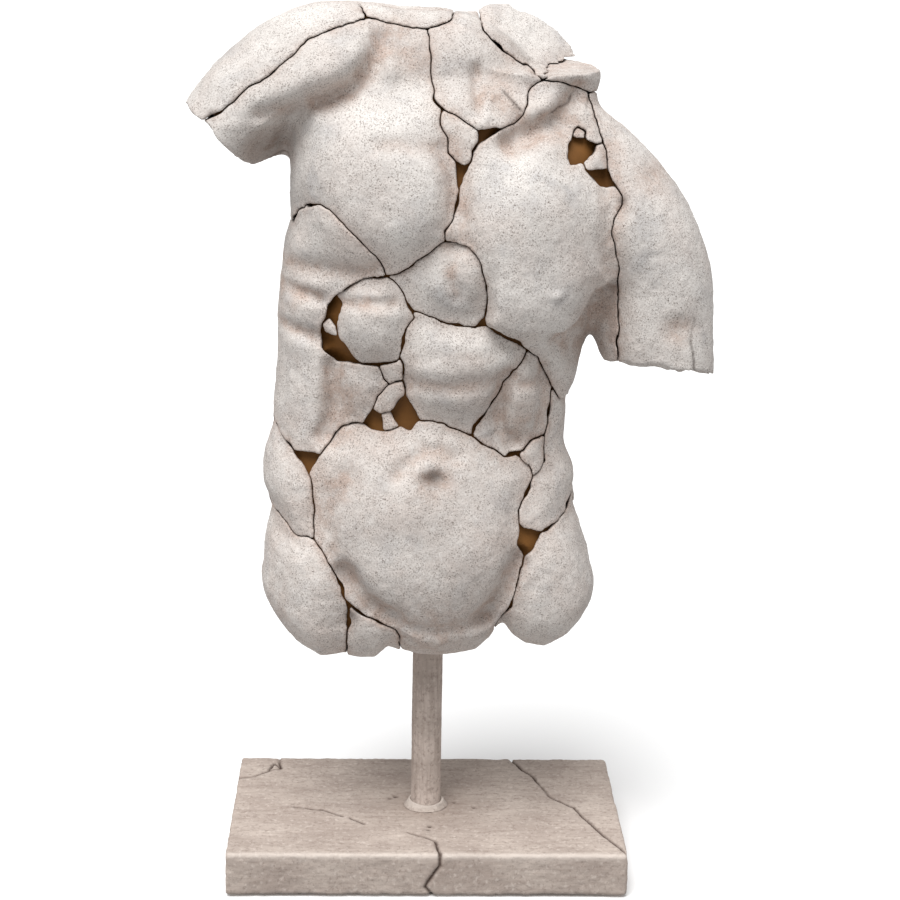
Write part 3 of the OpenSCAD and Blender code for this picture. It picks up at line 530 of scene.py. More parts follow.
def limb_field(rows, broken):
    """A stump: an ellipse swept along its centre line, broken off near the last station."""
    path = along(rows, np.linspace(0, len(rows) - 1, PATH_STEPS))
    tangents = np.gradient(path, axis=0)
    where = nearest(path)
    row, slope = path[where], tangents[where]
    px, pz, tx, tz = row[..., 1], row[..., 3], slope[..., 1], slope[..., 3]
    part = np.clip(((MAP_X - px) * tx + (MAP_Z - pz) * tz) / (tx * tx + tz * tz), -0.5, 0.5)
    part[(where == 0) | (where == len(path) - 1)] = 0
    row = row + part[..., None] * slope
    slope = slope + part[..., None] * np.gradient(tangents, axis=0)[where]
    length = np.hypot(slope[..., 1], slope[..., 3])
    dx, dz = slope[..., 1] / length, slope[..., 3] / length
    side = (MAP_X - row[..., 1]) * dz - (MAP_Z - row[..., 3]) * dx
    ahead = (MAP_X - row[..., 1]) * dx + (MAP_Z - row[..., 3]) * dz
    beyond = np.where(where == len(path) - 1, ahead, -MANY)
    before = np.where(where == 0, -ahead, -MANY)
    wide, deep, cy = (row[..., k][:, None, :].astype(np.float32) for k in (4, 5, 2))
    u = side[:, None, :].astype(np.float32) / wide
    v = lifted_y(deep) / deep - cy / deep
    q = np.sqrt(u * u + v * v)
    slope = np.sqrt((u / wide) ** 2 + (v / deep) ** 2) / np.maximum(q, 1e-3)
    f = (q - 1) / np.maximum(slope, LEAST_LIMB_SLOPE)
    f = np.maximum(np.maximum(f, beyond[:, None, :]), before[:, None, :]).astype(np.float32)
    return np.maximum(f, np.minimum.reduce([break_face(*face) for face in broken]))


def blend_fields(a, b, soft):
    """Smooth union of two fields."""
    h = np.clip(0.5 + 0.5 * (b - a) / soft, 0, 1)
    return b + (a - b) * h - soft * h * (1 - h)


def quads_of(field):
    """The surface where a field is zero, as points in lattice steps and four-cornered faces."""
    grid = vdb.FloatGrid()
    grid.background = BAND
    grid.copyFromArray(np.ascontiguousarray(field, dtype=np.float32))
    return grid.convertToQuads(0.0)


def exact_distance(field):
    """The same surface as a true distance, within BAND of it."""
    points, quads = quads_of(field)
    grid = vdb.FloatGrid.createLevelSetFromPolygons(
        points.astype(np.float32), quads=quads.astype(np.uint32),
        transform=vdb.createLinearTransform(1.0), halfWidth=BAND / STEP)
    out = np.empty(field.shape, np.float32)
    grid.copyToArray(out)
    return out * STEP


ARM_RIGHT_BLEND, ARM_LEFT_BLEND, NECK_BLEND = 10, 12, 6   # mm, how softly each limb joins the trunk


def torso_field():
    """Signed distance to the whole torso's skin."""
    f = trunk_field()
    scoop = blend_fields(break_face(*ARM_RIGHT_SCOOP), SCOOP_END - GX, SCOOP_SOFT)
    arm = np.maximum(limb_field(ARM_RIGHT, ARM_RIGHT_BREAK), scoop)
    f = blend_fields(f, arm, ARM_RIGHT_BLEND)
    f = blend_fields(f, limb_field(ARM_LEFT, ARM_LEFT_BREAK), ARM_LEFT_BLEND)
    neck = np.maximum(limb_field(NECK, NECK_BREAK), break_face(*NECK_TOP))
    return exact_distance(blend_fields(f, neck, NECK_BLEND))


SKIN = torso_field()


# --- Shards -----------------------------------------------------------------------------------
CRACK = 0.7         # mm, least width of a crack
SEAM_Y = 9
SEAM_WAVES = [(4, 7), (2, 19)]   # mm, and degrees of the wave for each mm of height


def seam_y(z):
    """Where the wavy seam between front and back shards lies."""
    (a, p), (b, q) = SEAM_WAVES
    return SEAM_Y + a * np.sin(np.radians(z * p)) + b * np.sin(np.radians(z * q))


def outline_distance(outline, x, z):
    """Signed distance to a closed outline in the front view, negative inside."""
    closed = outline + outline[:1]
    inside = np.zeros(x.shape, bool)
    for (x0, z0), (x1, z1) in zip(closed[:-1], closed[1:]):
        if z0 != z1:
            crosses = (z0 > z) != (z1 > z)
            inside ^= crosses & (x < (x1 - x0) * (z - z0) / (z1 - z0) + x0)
    d = line_distance(closed, x, z)
    return np.where(inside, -d, d)


def window(low, high):
    """Slices of the lattice that cover a box."""
    first = [max(int((lo - base) / STEP), 0) for lo, base in zip(low, LATTICE_LOW)]
    last = [min(int((hi - base) / STEP) + 2, len(a)) for hi, base, a in zip(high, LATTICE_LOW, AXES)]
    return tuple(slice(a, b) for a, b in zip(first, last))


def look_up(table, x, z, x0, z0):
    """Value of a map over the front view at any points, with straight-line interpolation."""
    u = np.clip((x - x0) / STEP, 0, table.shape[0] - 1.001)
    w = np.clip((z - z0) / STEP, 0, table.shape[1] - 1.001)
    i, k = u.astype(np.int32), w.astype(np.int32)
    u, w = u - i, w - k
    return ((table[i, k] * (1 - u) + table[i + 1, k] * u) * (1 - w)
            + (table[i, k + 1] * (1 - u) + table[i + 1, k + 1] * u) * w)


def round_meet(a, b, r):
    """Where two fields both hold, with the edge between them rounded to r."""
    u, v = np.maximum(a + r, 0), np.maximum(b + r, 0)
    return np.minimum(np.maximum(a, b), -r) + np.sqrt(u * u + v * v)


def make_object(name, points, quads, material, node):
    """A smooth-shaded mesh that rides on the sculpture's one body and replaces a CAD node."""
    mesh = bpy.data.meshes.new(name)
    mesh.vertices.add(len(points))
    mesh.vertices.foreach_set("co", (points * MM).astype(np.float32).ravel())
    mesh.loops.add(quads.size)
    mesh.loops.foreach_set("vertex_index", quads.astype(np.int32).ravel())
    mesh.polygons.add(len(quads))
    mesh.polygons.foreach_set("loop_start", np.arange(0, quads.size, quads.shape[1], dtype=np.int32))
    mesh.update(calc_edges=True)
    mesh.validate()
    mesh.polygons.foreach_set("use_smooth", np.ones(len(mesh.polygons), bool))
    mesh.materials.append(material)
    obj = bpy.data.objects.new(name, mesh)
    bpy.context.scene.collection.objects.link(obj)
    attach(obj, "root")
    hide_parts(node)
    return obj


def add_attribute(obj, name, values):
    """A number for each point, which the materials read."""
    layer = obj.data.attributes.new(name, "FLOAT", "POINT")
    layer.data.foreach_set("value", np.asarray(values, np.float32))


# How each shard's face is shaped: how far its rim rounds down, how wide that is, and how deep the shard sits
FACE = (1.2, 5, 0)
FACES = {
    "rib_lobe_right": (4.0, 10, 0), "sternum_low": (4.0, 11, 0), "abdomen_upper": (4.0, 11, 0),
    "abdomen_left": (3.5, 9, 0), "belly": (3.0, 10, 0), "hip_right": (3.5, 11, 0), "hip_left": (3.5, 11, 0),
    "hip_side_right": (3.5, 10, 0), "hip_side_left": (3.0, 9, 0), "chest_right": (2.0, 8, 0),
    "chest_left": (1.6, 7, 0), "flank_right": (1.6, 6, 0), "rib_chip_right": (0.6, 2, 2.0),
    "flank_chip_lower": (0.6, 2, 2.0), "flank_chip_middle": (0.8, 3, 0.5), "groin_chip": (1.0, 4, 0.8),
    "shoulder_chip_left": (0.6, 3, 1.0), "shoulder_crumb_left": (0.8, 3, 2.2), "sternum_chip": (0.8, 4, 0.4)
}
EDGE_ROUND = 0.8
WARP = 1.1          # mm that the cracks wander from their drawn lines
CRACK_WIDER = 0.9   # mm that a crack opens up in places
# The crack along the neck's ledge slopes up behind this place, so that nobody sees through it
LEDGE_TILT = 0.12
TILT_X, TILT_Y, TILT_Z = 55, 15, 500
TILT_FADE_X, TILT_FADE_Z = 12, 8
FACE_LUMPS = 0.28   # mm, roughness of the faces
FACE_GRAINS = 0.20
NEAR_SKIN = 2.5     # mm of lattice kept beyond the shard's two faces
OUTLINE_PAD = 4     # mm of lattice kept round a shard's outline
OUTSIDE = 3.0       # mm, the distance written where nothing is worked out
FAR_Y = 90          # beyond the torso's chest and back
SEAM_END_Y = 18     # the front shards end before this
CRUMB_SHARE = 0.1


def shard_field(px, py, pz, skin, lateral_map, corner, side, face):
    """The shard's outside and crack distances at points: lateral is negative inside the outline."""
    wx = WARP * fractal(px, py, pz, 9, 3, seed=1)
    wz = WARP * fractal(px, py, pz, 9, 3, seed=5)
    tilt = LEDGE_TILT * np.maximum(py - TILT_Y, 0) * ease((px - TILT_X) / TILT_FADE_X)
    wz = wz - tilt * ease((pz - TILT_Z) / TILT_FADE_Z)
    lateral = look_up(lateral_map, px + wx, pz + wz, *corner)
    lateral = lateral + CRACK / 2 + CRACK_WIDER * ease((noise(px, py, pz, 12, 6) - 0.3) / 0.5)
    if side:
        lateral = np.maximum(lateral, side * (seam_y(pz) - py + wx) + CRACK / 2)
    dip, wide, sink = face
    outer = skin + sink + dip * np.exp(-(np.minimum(lateral, 0) / wide) ** 2)
    rough = FACE_LUMPS * noise(px, py, pz, 5, 9) + FACE_GRAINS * noise(px, py, pz, 2.4, 4)
    return outer + rough, lateral


def shard_mesh(outline, side, face):
    """Points and faces of one shard, and its outline's distance map with that map's corner."""
    low_x, low_z = np.min(outline, axis=0) - OUTLINE_PAD
    high_x, high_z = np.max(outline, axis=0) + OUTLINE_PAD
    low = [low_x, (-FAR_Y if side <= 0 else 0), low_z]
    high = [high_x, (FAR_Y if side >= 0 else SEAM_END_Y), high_z]
    box = window(low, high)
    x, y, z = (a[s] for a, s in zip(AXES, box))
    corner = (x[0], z[0])
    lateral_map = outline_distance(outline, *np.meshgrid(x, z, indexing="ij")).astype(np.float32)
    X, Y, Z = (np.broadcast_to(g, (len(x), len(y), len(z))) for g in np.ix_(x, y, z))
    skin = SKIN[box]
    used = (skin < NEAR_SKIN) & (skin > -SHARD_T - NEAR_SKIN)
    used &= np.broadcast_to((lateral_map < OUTLINE_PAD)[:, None, :], used.shape)
    px, py, pz, d = X[used], Y[used], Z[used], skin[used]
    outer, lateral = shard_field(px, py, pz, d, lateral_map, corner, side, face)
    f = round_meet(outer, lateral, EDGE_ROUND * (1 + 0.5 * noise(px, py, pz, 6, 2)))
    f = np.maximum(f, -(d + SHARD_T))
    full = np.full(skin.shape, OUTSIDE, np.float32)
    full[used] = np.minimum(f, OUTSIDE)
    foot = z < TORSO_Z + SHARD_T + 2
    full[:, :, foot] = np.maximum(full[:, :, foot], (POST_R + POST_FIT - np.hypot(X, Y))[:, :, foot])
    points, quads = quads_of(full / STEP)
    points = points * STEP + np.array([x[0], y[0], z[0]])
    return points, quads, lateral_map, corner


def orient(points, quads):
    """Faces turned to point outwards, judged by the volume they enclose."""
    a, b, c, d = (points[quads[:, k]] for k in range(4))
    volume = np.einsum("ij,ij->i", a, np.cross(b, c)).sum() + np.einsum("ij,ij->i", a, np.cross(c, d)).sum()
    return quads if volume > 0 else quads[:, ::-1]


def largest_part(points, quads):
    """Drops loose crumbs: keeps the pieces with at least CRUMB_SHARE of the largest's faces."""
    group = np.arange(len(points))
    while True:
        low = group[quads].min(1)
        new = group.copy()
        for k in range(4):
            np.minimum.at(new, quads[:, k], low)
        new = new[new]
        if (new == group).all():
            break
        group = new
    count = np.bincount(group[quads[:, 0]], minlength=len(points))
    keep = count[group[quads[:, 0]]] >= CRUMB_SHARE * count.max()
    quads = quads[keep]
    used = np.unique(quads)
    index = np.zeros(len(points), np.int64)
    index[used] = np.arange(len(used))
    return points[used], index[quads]


# --- Materials --------------------------------------------------------------------------------
class Nodes:
    """Small helper to wire a material's nodes."""

    def __init__(self, name, rough):
        self.material = bpy.data.materials.new(name)
        self.material.use_nodes = True
        self.tree = self.material.node_tree
        self.shader = self.tree.nodes["Principled BSDF"]
        self.shader.inputs["Roughness"].default_value = rough
        self.shader.inputs["Specular IOR Level"].default_value = 0.25
        self.where = self.new("ShaderNodeTexCoord").outputs["Object"]

    def new(self, kind, **values):
        node = self.tree.nodes.new(kind)
        for key, value in values.items():
            setattr(node, key, value)
        return node

    def link(self, a, b):
        self.tree.links.new(a, b)

    def noise(self, scale, detail=3, rough=0.55, squeeze=None):
        node = self.new("ShaderNodeTexNoise")
        node.inputs["Scale"].default_value = scale
        node.inputs["Detail"].default_value = detail
        node.inputs["Roughness"].default_value = rough
        self.link(self.place(squeeze), node.inputs["Vector"])
        return node.outputs["Fac"]

    def place(self, squeeze):
        if not squeeze:
            return self.where
        node = self.new("ShaderNodeMapping")
        node.inputs["Scale"].default_value = squeeze
        self.link(self.where, node.inputs["Vector"])
        return node.outputs["Vector"]

    def cells(self, scale):
        node = self.new("ShaderNodeTexVoronoi")
        node.inputs["Scale"].default_value = scale
        self.link(self.where, node.inputs["Vector"])
        return node.outputs["Distance"]

    def attribute(self, name):
        return self.new("ShaderNodeAttribute", attribute_name=name).outputs["Fac"]

    def range(self, value, low, high, to_low=0.0, to_high=1.0):
        node = self.new("ShaderNodeMapRange", clamp=True)
        for key, number in (("From Min", low), ("From Max", high), ("To Min", to_low), ("To Max", to_high)):
            node.inputs[key].default_value = number
        self.link(value, node.inputs["Value"])
        return node.outputs["Result"]

    def maths(self, kind, a, b):
        node = self.new("ShaderNodeMath", operation=kind)
        for socket, value in zip(node.inputs, (a, b)):
            if isinstance(value, (int, float)):
                socket.default_value = value
            else:
                self.link(value, socket)
        return node.outputs[0]

    def mix(self, amount, a, b, kind="MIX"):
        node = self.new("ShaderNodeMix", data_type="RGBA", blend_type=kind)
        if isinstance(amount, (int, float)):
            node.inputs["Factor"].default_value = amount
        else:
            self.link(amount, node.inputs["Factor"])
        for socket, value in ((node.inputs[6], a), (node.inputs[7], b)):
            if isinstance(value, tuple):
                socket.default_value = (*value, 1)
            else:
                self.link(value, socket)
        return node.outputs[2]

    def bump(self, height, distance, strength, before=None):
        node = self.new("ShaderNodeBump")
        node.inputs["Distance"].default_value = distance
        node.inputs["Strength"].default_value = strength
        self.link(height, node.inputs["Height"])
        if before:
            self.link(before, node.inputs["Normal"])
        return node.outputs["Normal"]

    def tint(self, colour, mask, amount, tone):
        """The colour with a tone laid over it where a mask says so."""
        return self.mix(self.maths("MULTIPLY", mask, amount), colour, tone)

    def finish(self, colour, normal):
        self.link(colour, self.shader.inputs["Base Color"])
        self.link(normal, self.shader.inputs["Normal"])
        return self.material


def srgb(r, g, b):
    """A screen colour as the renderer's own numbers."""
    return tuple(((c / 255 + 0.055) / 1.055) ** 2.4 if c > 10 else c / 255 / 12.92 for c in (r, g, b))


def shard_material():
    """Pale stone: soft patches, pink-tan wash in the hollows, grains, pores, dark flecks, and painted shade
    in cracks and hollows.
    """
    n = Nodes("shard_stone", 0.88)
    patch = n.range(n.noise(30, 4), 0.36, 0.64)
    colour = n.mix(patch, srgb(229, 224, 219), srgb(210, 204, 199))
    cool = n.range(n.noise(46, 3, 0.6, (1, 1.3, 0.8)), 0.52, 0.72)
    colour = n.tint(colour, cool, 0.5, srgb(178, 177, 178))
    pink = n.range(n.noise(23, 3), 0.50, 0.70)
    colour = n.tint(colour, pink, 0.4, srgb(206, 190, 181))
    # Tan wash, with painted shade under the right arm's stump
    wash_and_shade = n.maths("MULTIPLY", n.attribute("stain_and_shade"), n.range(n.noise(110, 3), 0.34, 0.62, 0.25, 0.8))
    colour = n.mix(wash_and_shade, colour, srgb(184, 160, 146))
    grain = n.range(n.noise(900, 3, 0.8), 0.42, 0.64)
    colour = n.tint(colour, grain, 0.32, srgb(148, 138, 132))
    pale = n.range(n.noise(760, 3, 0.8), 0.54, 0.66)
    colour = n.tint(colour, pale, 0.45, srgb(236, 233, 229))
    spread = n.range(n.noise(150, 3), 0.38, 0.56, 0.35, 1.0)
    flecks = n.maths("MULTIPLY", n.range(n.noise(1050, 2, 0.6), 0.57, 0.66), spread)
    colour = n.tint(colour, flecks, 0.75, srgb(122, 110, 103))
    speck = n.maths("MULTIPLY", n.range(n.cells(780), 0.18, 0.38, 1.0, 0.0), spread)
    colour = n.tint(colour, speck, 0.60, srgb(106, 94, 87))
    patches = n.range(n.noise(110, 2), 0.48, 0.58)
    big = n.maths("MULTIPLY", n.range(n.cells(380), 0.08, 0.18, 1.0, 0.0), patches)
    colour = n.tint(colour, big, 0.85, srgb(74, 60, 53))
    # Painted shade down the crack walls, in hollows and four wide areas, with dark mortar and hairlines
    colour = n.mix(n.attribute("wall"), colour, srgb(62, 47, 38))
    normal = n.bump(n.maths("ADD", speck, flecks), 0.0006, -0.8)
    normal = n.bump(n.noise(560, 4, 0.7), 0.0006, 0.8, normal)
    return n.finish(colour, normal)


def brown_material():
    """Flat golden brown of the hollow inside."""
    n = Nodes("liner_shell", 0.7)
    colour = n.mix(n.range(n.noise(60, 3), 0.35, 0.65), srgb(118, 78, 34), srgb(102, 66, 27))
    return n.finish(colour, n.bump(n.noise(300, 3), 0.0003, 0.3))


def base_material(name, light, dark, streak):
    """Greyer stone of the slab and post, with fine streaks along one direction."""
    n = Nodes(name, 0.9)
    colour = n.mix(n.range(n.noise(24, 5, 0.55, (1, 1.6, 1.6)), 0.36, 0.64), light, dark)
    lines = n.range(n.noise(60, 4, 0.6, streak), 0.46, 0.68)
    colour = n.tint(colour, lines, 0.55, srgb(150, 135, 126))
    grains = n.range(n.noise(380, 3, 0.75), 0.52, 0.66)
    colour = n.tint(colour, grains, 0.5, srgb(128, 112, 104))
    pale = n.range(n.noise(300, 2, 0.6), 0.56, 0.70)
    colour = n.tint(colour, pale, 0.4, srgb(214, 203, 194))
    # Painted shadow round the post on the slab; on the torso, tan wash with some painted shade
    colour = n.mix(n.attribute("stain_and_shade"), colour, srgb(146, 128, 117))
    colour = n.tint(colour, n.attribute("lip"), 0.6, srgb(222, 212, 203))
    colour = n.mix(n.attribute("wall"), colour, srgb(66, 50, 42))
    normal = n.bump(n.noise(520, 4, 0.7), 0.0006, 0.6)
    return n.finish(colour, normal)


def plain_material(name, colour, rough, metal):
    """Slightly uneven steel or foam, for the hidden pieces."""
    n = Nodes(name, rough)
    n.shader.inputs["Metallic"].default_value = metal
    shade = n.mix(n.range(n.noise(120, 3), 0.3, 0.7), srgb(*colour), srgb(*(c * 0.85 for c in colour)))
    return n.finish(shade, n.bump(n.noise(900, 2), 0.0002, 0.3))


STONE = shard_material()
BROWN = brown_material()
BASE_STONE = base_material("base_stone", srgb(190, 177, 167), srgb(168, 154, 145), (1, 7, 7))
POST_STONE = base_material("post_stone", srgb(207, 193, 184), srgb(178, 165, 156), (8, 8, 0.6))
STEEL = plain_material("steel", (178, 180, 184), 0.35, 1.0)
FOAM = plain_material("foam", (52, 50, 48), 0.95, 0.0)


# --- Build the torso --------------------------------------------------------------------------
HOLLOW_FULL = 6                     # mm, hollows of the relief this deep are stained in full
CREASE_STAIN, CREASE_STAIN_WIDE = 0.2, 0.8   # for each mm of a crease's depth, and share of its half width
SPOT_STAIN, EDGE_STAIN = 0.7, 0.7
EDGE_WASH = 3.5                     # mm, how far the wash spreads from a crack
WALL_STARTS, WALL_FULL = 1.0, 2.0   # mm under the face where a crack's wall turns dark with painted shade, and over how far
LOW_STAIN, LOW_STAIN_TOP, LOW_STAIN_FADE = 0.25, 400, 120   # more tan wash towards the bottom of the torso


def stain_and_shade_map(x, z):
    """How strongly the tan wash has settled, with painted shade under the right arm's stump, over the front
    view.
    """
    total = np.clip(-mounds([m for m in FRONT_MOUNDS if m[4] < 0], x, z) / HOLLOW_FULL, 0, 1)
    for line, depth, wide in FRONT_CREASES:
        if depth > 0:
            away = line_distance(line, x, z) / (CREASE_STAIN_WIDE * wide)
            total += CREASE_STAIN * depth * np.exp(-away ** 2)
    for sx, sz, r in STAINS_AND_SHADE:
        total += SPOT_STAIN * np.exp(-((x - sx) ** 2 + (z - sz) ** 2) / r ** 2)
    return np.clip(total, 0, 1).astype(np.float32)


def dark_map(x, z):
    """How dark hairlines, spots of mortar and spots of painted shade are, over the front view."""
    total = HAIRLINE_DARK * hairline_map(x, z)
    for sx, sz, r, strength in SPOTS:
        total += strength * np.exp(-((x - sx) ** 2 + (z - sz) ** 2) / r ** 2)
    return total.astype(np.float32)


STAIN_AND_SHADE = stain_and_shade_map(MAP_X, MAP_Z)
DARK = dark_map(MAP_X, MAP_Z)
MAP_CORNER = (AXES[0][0], AXES[2][0])


def sample(points):
    """The skin's distance at any points, with straight-line interpolation."""
    place = [np.clip((points[:, k] - LATTICE_LOW[k]) / STEP, 0, len(AXES[k]) - 1.001) for k in range(3)]
    cell = [p.astype(int) for p in place]
    total = 0
    for corner in range(8):
        bits = [(corner >> k) & 1 for k in range(3)]
        weight = np.prod([(p - c if b else 1 - (p - c)) for p, c, b in zip(place, cell, bits)], axis=0)
        total = total + weight * SKIN[tuple(c + b for c, b in zip(cell, bits))]
    return total


def build_shard(name, outline, side):
    """One shard; side is -1 for the front, 1 for the back and 0 for both."""
    face = FACES.get(name, FACE)
    points, quads, lateral_map, corner = shard_mesh(outline, side, face)
    points, quads = largest_part(points, quads)
    quads = orient(points, quads)
    x, y, z = points.T
    outer, lateral = shard_field(x, y, z, sample(points), lateral_map, corner, side, face)
    # Painted shade: a crack's walls darken from WALL_STARTS under the face
    wall = ease((-outer - WALL_STARTS) / WALL_FULL)
    near = np.exp(-np.maximum(-lateral, 0) / EDGE_WASH)
    front = (y < seam_y(z)) if side == 0 else side < 0
    stain_and_shade = look_up(STAIN_AND_SHADE, x, z, *MAP_CORNER) * front
    dark = look_up(DARK, x, z, *MAP_CORNER) * front
    points[:, 2] += LIFT
    obj = make_object("torso_" + name, points, quads, STONE, name)
    add_attribute(obj, "wall", np.clip(wall + dark, 0, 1))
    low = LOW_STAIN * ease((LOW_STAIN_TOP - z) / LOW_STAIN_FADE)
    add_attribute(obj, "stain_and_shade", np.clip(stain_and_shade + EDGE_STAIN * near + low, 0, 1))


LINER_STEPS = 2      # the liner takes every second lattice point
LINER_FLOOR = 170                    # the rod passes through the liner below this height
LINER_GAP = 0.1                      # mm, from the seam to each half
LINER_SEAM_END = 20                  # the front half ends before this y


def build_liner(name, side):
    """One half of the brown hollow shell, with the rod's hole in its floor."""
    low_y, high_y = (LATTICE_LOW[1], LINER_SEAM_END) if side < 0 else (0, LATTICE_HIGH[1])
    box = window([LATTICE_LOW[0], low_y, LATTICE_LOW[2]], [LATTICE_HIGH[0], high_y, LATTICE_HIGH[2]])
    x, y, z = (a[s] for a, s in zip(AXES, box))
    d = SKIN[box]
    f = np.maximum(d + LINER_IN, -(d + LINER_IN + LINER_T))
    f = np.maximum(f, side * (seam_y(z)[None, None, :] - y[None, :, None]) + LINER_GAP)
    above = MANY * (z > LINER_FLOOR)[None, None, :]
    f = np.maximum(f, ROD_HOLE_R - np.hypot(x[:, None, None], y[None, :, None]) - above)
    k = LINER_STEPS
    points, quads = quads_of(f[::k, ::k, ::k])
    points = points * STEP * k + np.array([x[0], y[0], z[0]])
    points, quads = largest_part(points, quads)
    points[:, 2] += LIFT
    make_object("torso_" + name, points, orient(points, quads), BROWN, name)


for shards, side in ((FRONT_SHARDS, -1), (NECK_SHARDS, 0), (BACK_SHARDS, 1)):
    for name, outline in shards:
        build_shard(name, outline, side)
build_liner("liner_front", -1)
build_liner("liner_back", 1)

# --- Base: slab, post and cement bead ----------------------------------------------------------
SLAB_LOW, SLAB_HIGH = (np.array(v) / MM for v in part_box("base_slab"))
SLAB_STEP = 1.1
SLAB_EDGE = 2.2                  # mm, rounding of the slab's worn edges
SLAB_WORN = 0.25                 # mm, how far its faces lie inside the CAD slab
SLAB_ROUGH = [(0.30, 26, 2), (0.24, 6, 5), (0.30, 2.6, 7)]   # strength and size in mm, and seed
GROOVE_DEEP, GROOVE_WIDE = 2.2, 0.9
TOP_CRACK_DEEP, FRONT_CRACK_DEEP, PIT_DEEP = 5, 4, 4   # mm, how far down each keeps its full width
SLAB_BAND = 6                    # mm under its faces where the slab's shape is worked out
SLAB_PAD = 3
RECESS_R, RECESS_H = 15, 13      # under the slab, for washer and nut
LIP_WIDE = 3.0                   # mm, the paler band along the front's top edge
# Painted shadow of the torso on the slab's top round the post: how much, how far round it and how deep, in mm
BEAD_SHADE, BEAD_SHADE_R, BEAD_SHADE_DEEP = 0.5, 30, 3
# Cracks in the slab's top, x and y, and down its front, x and height
TOP_CRACKS = [
    [[-102, 76], [-99, 58], [-108, 53], [-119, 43], [-128, 41]],
    [[-99, 58], [-104, 66], [-108, 53]],
    [[60, 77], [68, 57], [75, 45], [84, 13], [99, -5], [104, -19], [112, -40], [118, -54], [128, -73]],
    [[-87, -5], [-69, -9], [-55, -19]],
    [[-50, -22], [-41, -30]],
    [[-13, -42], [5, -55], [8, -77]]
]
FRONT_CRACKS = [[[8, 30], [8, 22], [2, 13], [-1, 7], [4, 1]]]
# x, y, radius
PITS = [[-20, 12, 1.6], [-24, 9, 1.3], [2, -34, 1.6], [1, -39, 1.2], [19, 3, 1.4], [32, -5, 1.1]]


def groove_distance(lines, a, b):
    """Distance to the nearest of several lines."""
    return np.min([line_distance(line, a, b) for line in lines], axis=0)


def slab_field(x, y, z):
    """Rounded box with worn faces and cracks; also how dark each point is."""
    middle, half = (SLAB_LOW + SLAB_HIGH) / 2, (SLAB_HIGH - SLAB_LOW) / 2
    edge = SLAB_EDGE * (1 + 0.3 * noise(x, y, z, 15, 3))
    q = [np.abs(v - m) - (h - edge) for v, m, h in zip((x, y, z), middle, half)]
    f = np.sqrt(sum(np.maximum(v, 0) ** 2 for v in q)) + np.minimum(np.maximum.reduce(q), 0) - edge
    f = f + SLAB_WORN
    for strength, size, seed in SLAB_ROUGH:
        f = f + strength * noise(x, y, z, size, seed)
    wander = fractal(x, y, z, 9, 2, seed=4)
    top = groove_distance(TOP_CRACKS, x + wander, y - wander)
    top = top + np.maximum(SLAB_HIGH[2] - TOP_CRACK_DEEP - z, 0)
    face = groove_distance(FRONT_CRACKS, x + wander, z - wander)
    face = face + np.maximum(y - SLAB_LOW[1] - FRONT_CRACK_DEEP, 0)
    dark = np.exp(-(np.minimum(top, face) / GROOVE_WIDE) ** 2)
    for px, py, r in PITS:
        pit = np.hypot(x - px, y - py) + np.maximum(SLAB_HIGH[2] - PIT_DEEP - z, 0)
        dark = np.maximum(dark, np.exp(-(pit / r) ** 2))
    dark = dark * (0.5 + 0.5 * ease(noise(x, y, z, 9, 11) + 0.8))
    return f + GROOVE_DEEP * dark, dark


def build_slab():
    """The worn slab, with the rod's hole and the recess under it."""
    low, high = SLAB_LOW - SLAB_PAD, SLAB_HIGH + SLAB_PAD
    axes = [np.arange(lo, hi, SLAB_STEP) for lo, hi in zip(low, high)]
    x, y, z = np.meshgrid(*axes, indexing="ij")
    skin = np.minimum.reduce([x - SLAB_LOW[0], SLAB_HIGH[0] - x, y - SLAB_LOW[1], SLAB_HIGH[1] - y,
                              z - SLAB_LOW[2], SLAB_HIGH[2] - z])
    near = skin < SLAB_BAND
    full = -np.minimum(skin, 3 * SLAB_STEP)
    full[near] = slab_field(x[near], y[near], z[near])[0]
    bore = np.where(z < SLAB_LOW[2] + RECESS_H, RECESS_R, ROD_HOLE_R) - np.hypot(x, y)
    full = np.maximum(full, bore)
    points, quads = quads_of(full / SLAB_STEP)
    points = points * SLAB_STEP + low
    dark = slab_field(*points.T)[1]
    quads = orient(points, quads)
    obj = make_object("base_stone_slab", points, quads, BASE_STONE, "base_slab")
    # Painted shadow of the torso on the slab's top, round the post
    shade = np.exp(-(np.hypot(points[:, 0], points[:, 1]) / BEAD_SHADE_R) ** 2)
    shade *= points[:, 2] > SLAB_HIGH[2] - BEAD_SHADE_DEEP
    lip = np.exp(-((points[:, 1] - SLAB_LOW[1]) ** 2 + (points[:, 2] - SLAB_HIGH[2]) ** 2) / LIP_WIDE ** 2)
    add_attribute(obj, "wall", dark)
    add_attribute(obj, "stain_and_shade", BEAD_SHADE * shade)
    add_attribute(obj, "lip", lip)


def revolve(name, profile, sides, warp, material, node):
    """A ring turned from a closed profile of radius and height; warp moves its points."""
    turns = np.linspace(0, 2 * math.pi, sides, endpoint=False)
    r, z = np.array(profile, float).T
    turn, r = np.meshgrid(turns, r, indexing="ij")
    z = np.broadcast_to(z, r.shape)
    r, z = warp(turn, r, z)
    points = np.stack([r * np.cos(turn), r * np.sin(turn), z], -1).reshape(-1, 3)
    n = len(profile)
    i, j = np.meshgrid(np.arange(sides), np.arange(n), indexing="ij")
    i1, j1 = (i + 1) % sides, (j + 1) % n
    quads = np.stack([i * n + j, i1 * n + j, i1 * n + j1, i * n + j1], -1).reshape(-1, 4)
    return make_object(name, points, orient(points, quads), material, node)


POST_SIDES, BEAD_SIDES = 72, 120
POST_STEP = 0.8    # mm between rings
POST_WORN = 0.15                     # mm
BEAD_TOP_WIDE = 1.5                  # mm left of the bead at its top
BEAD_CURVE = 1.6                     # how hollow the bead's slope is
BEAD_LUMPS = 0.5                     # mm


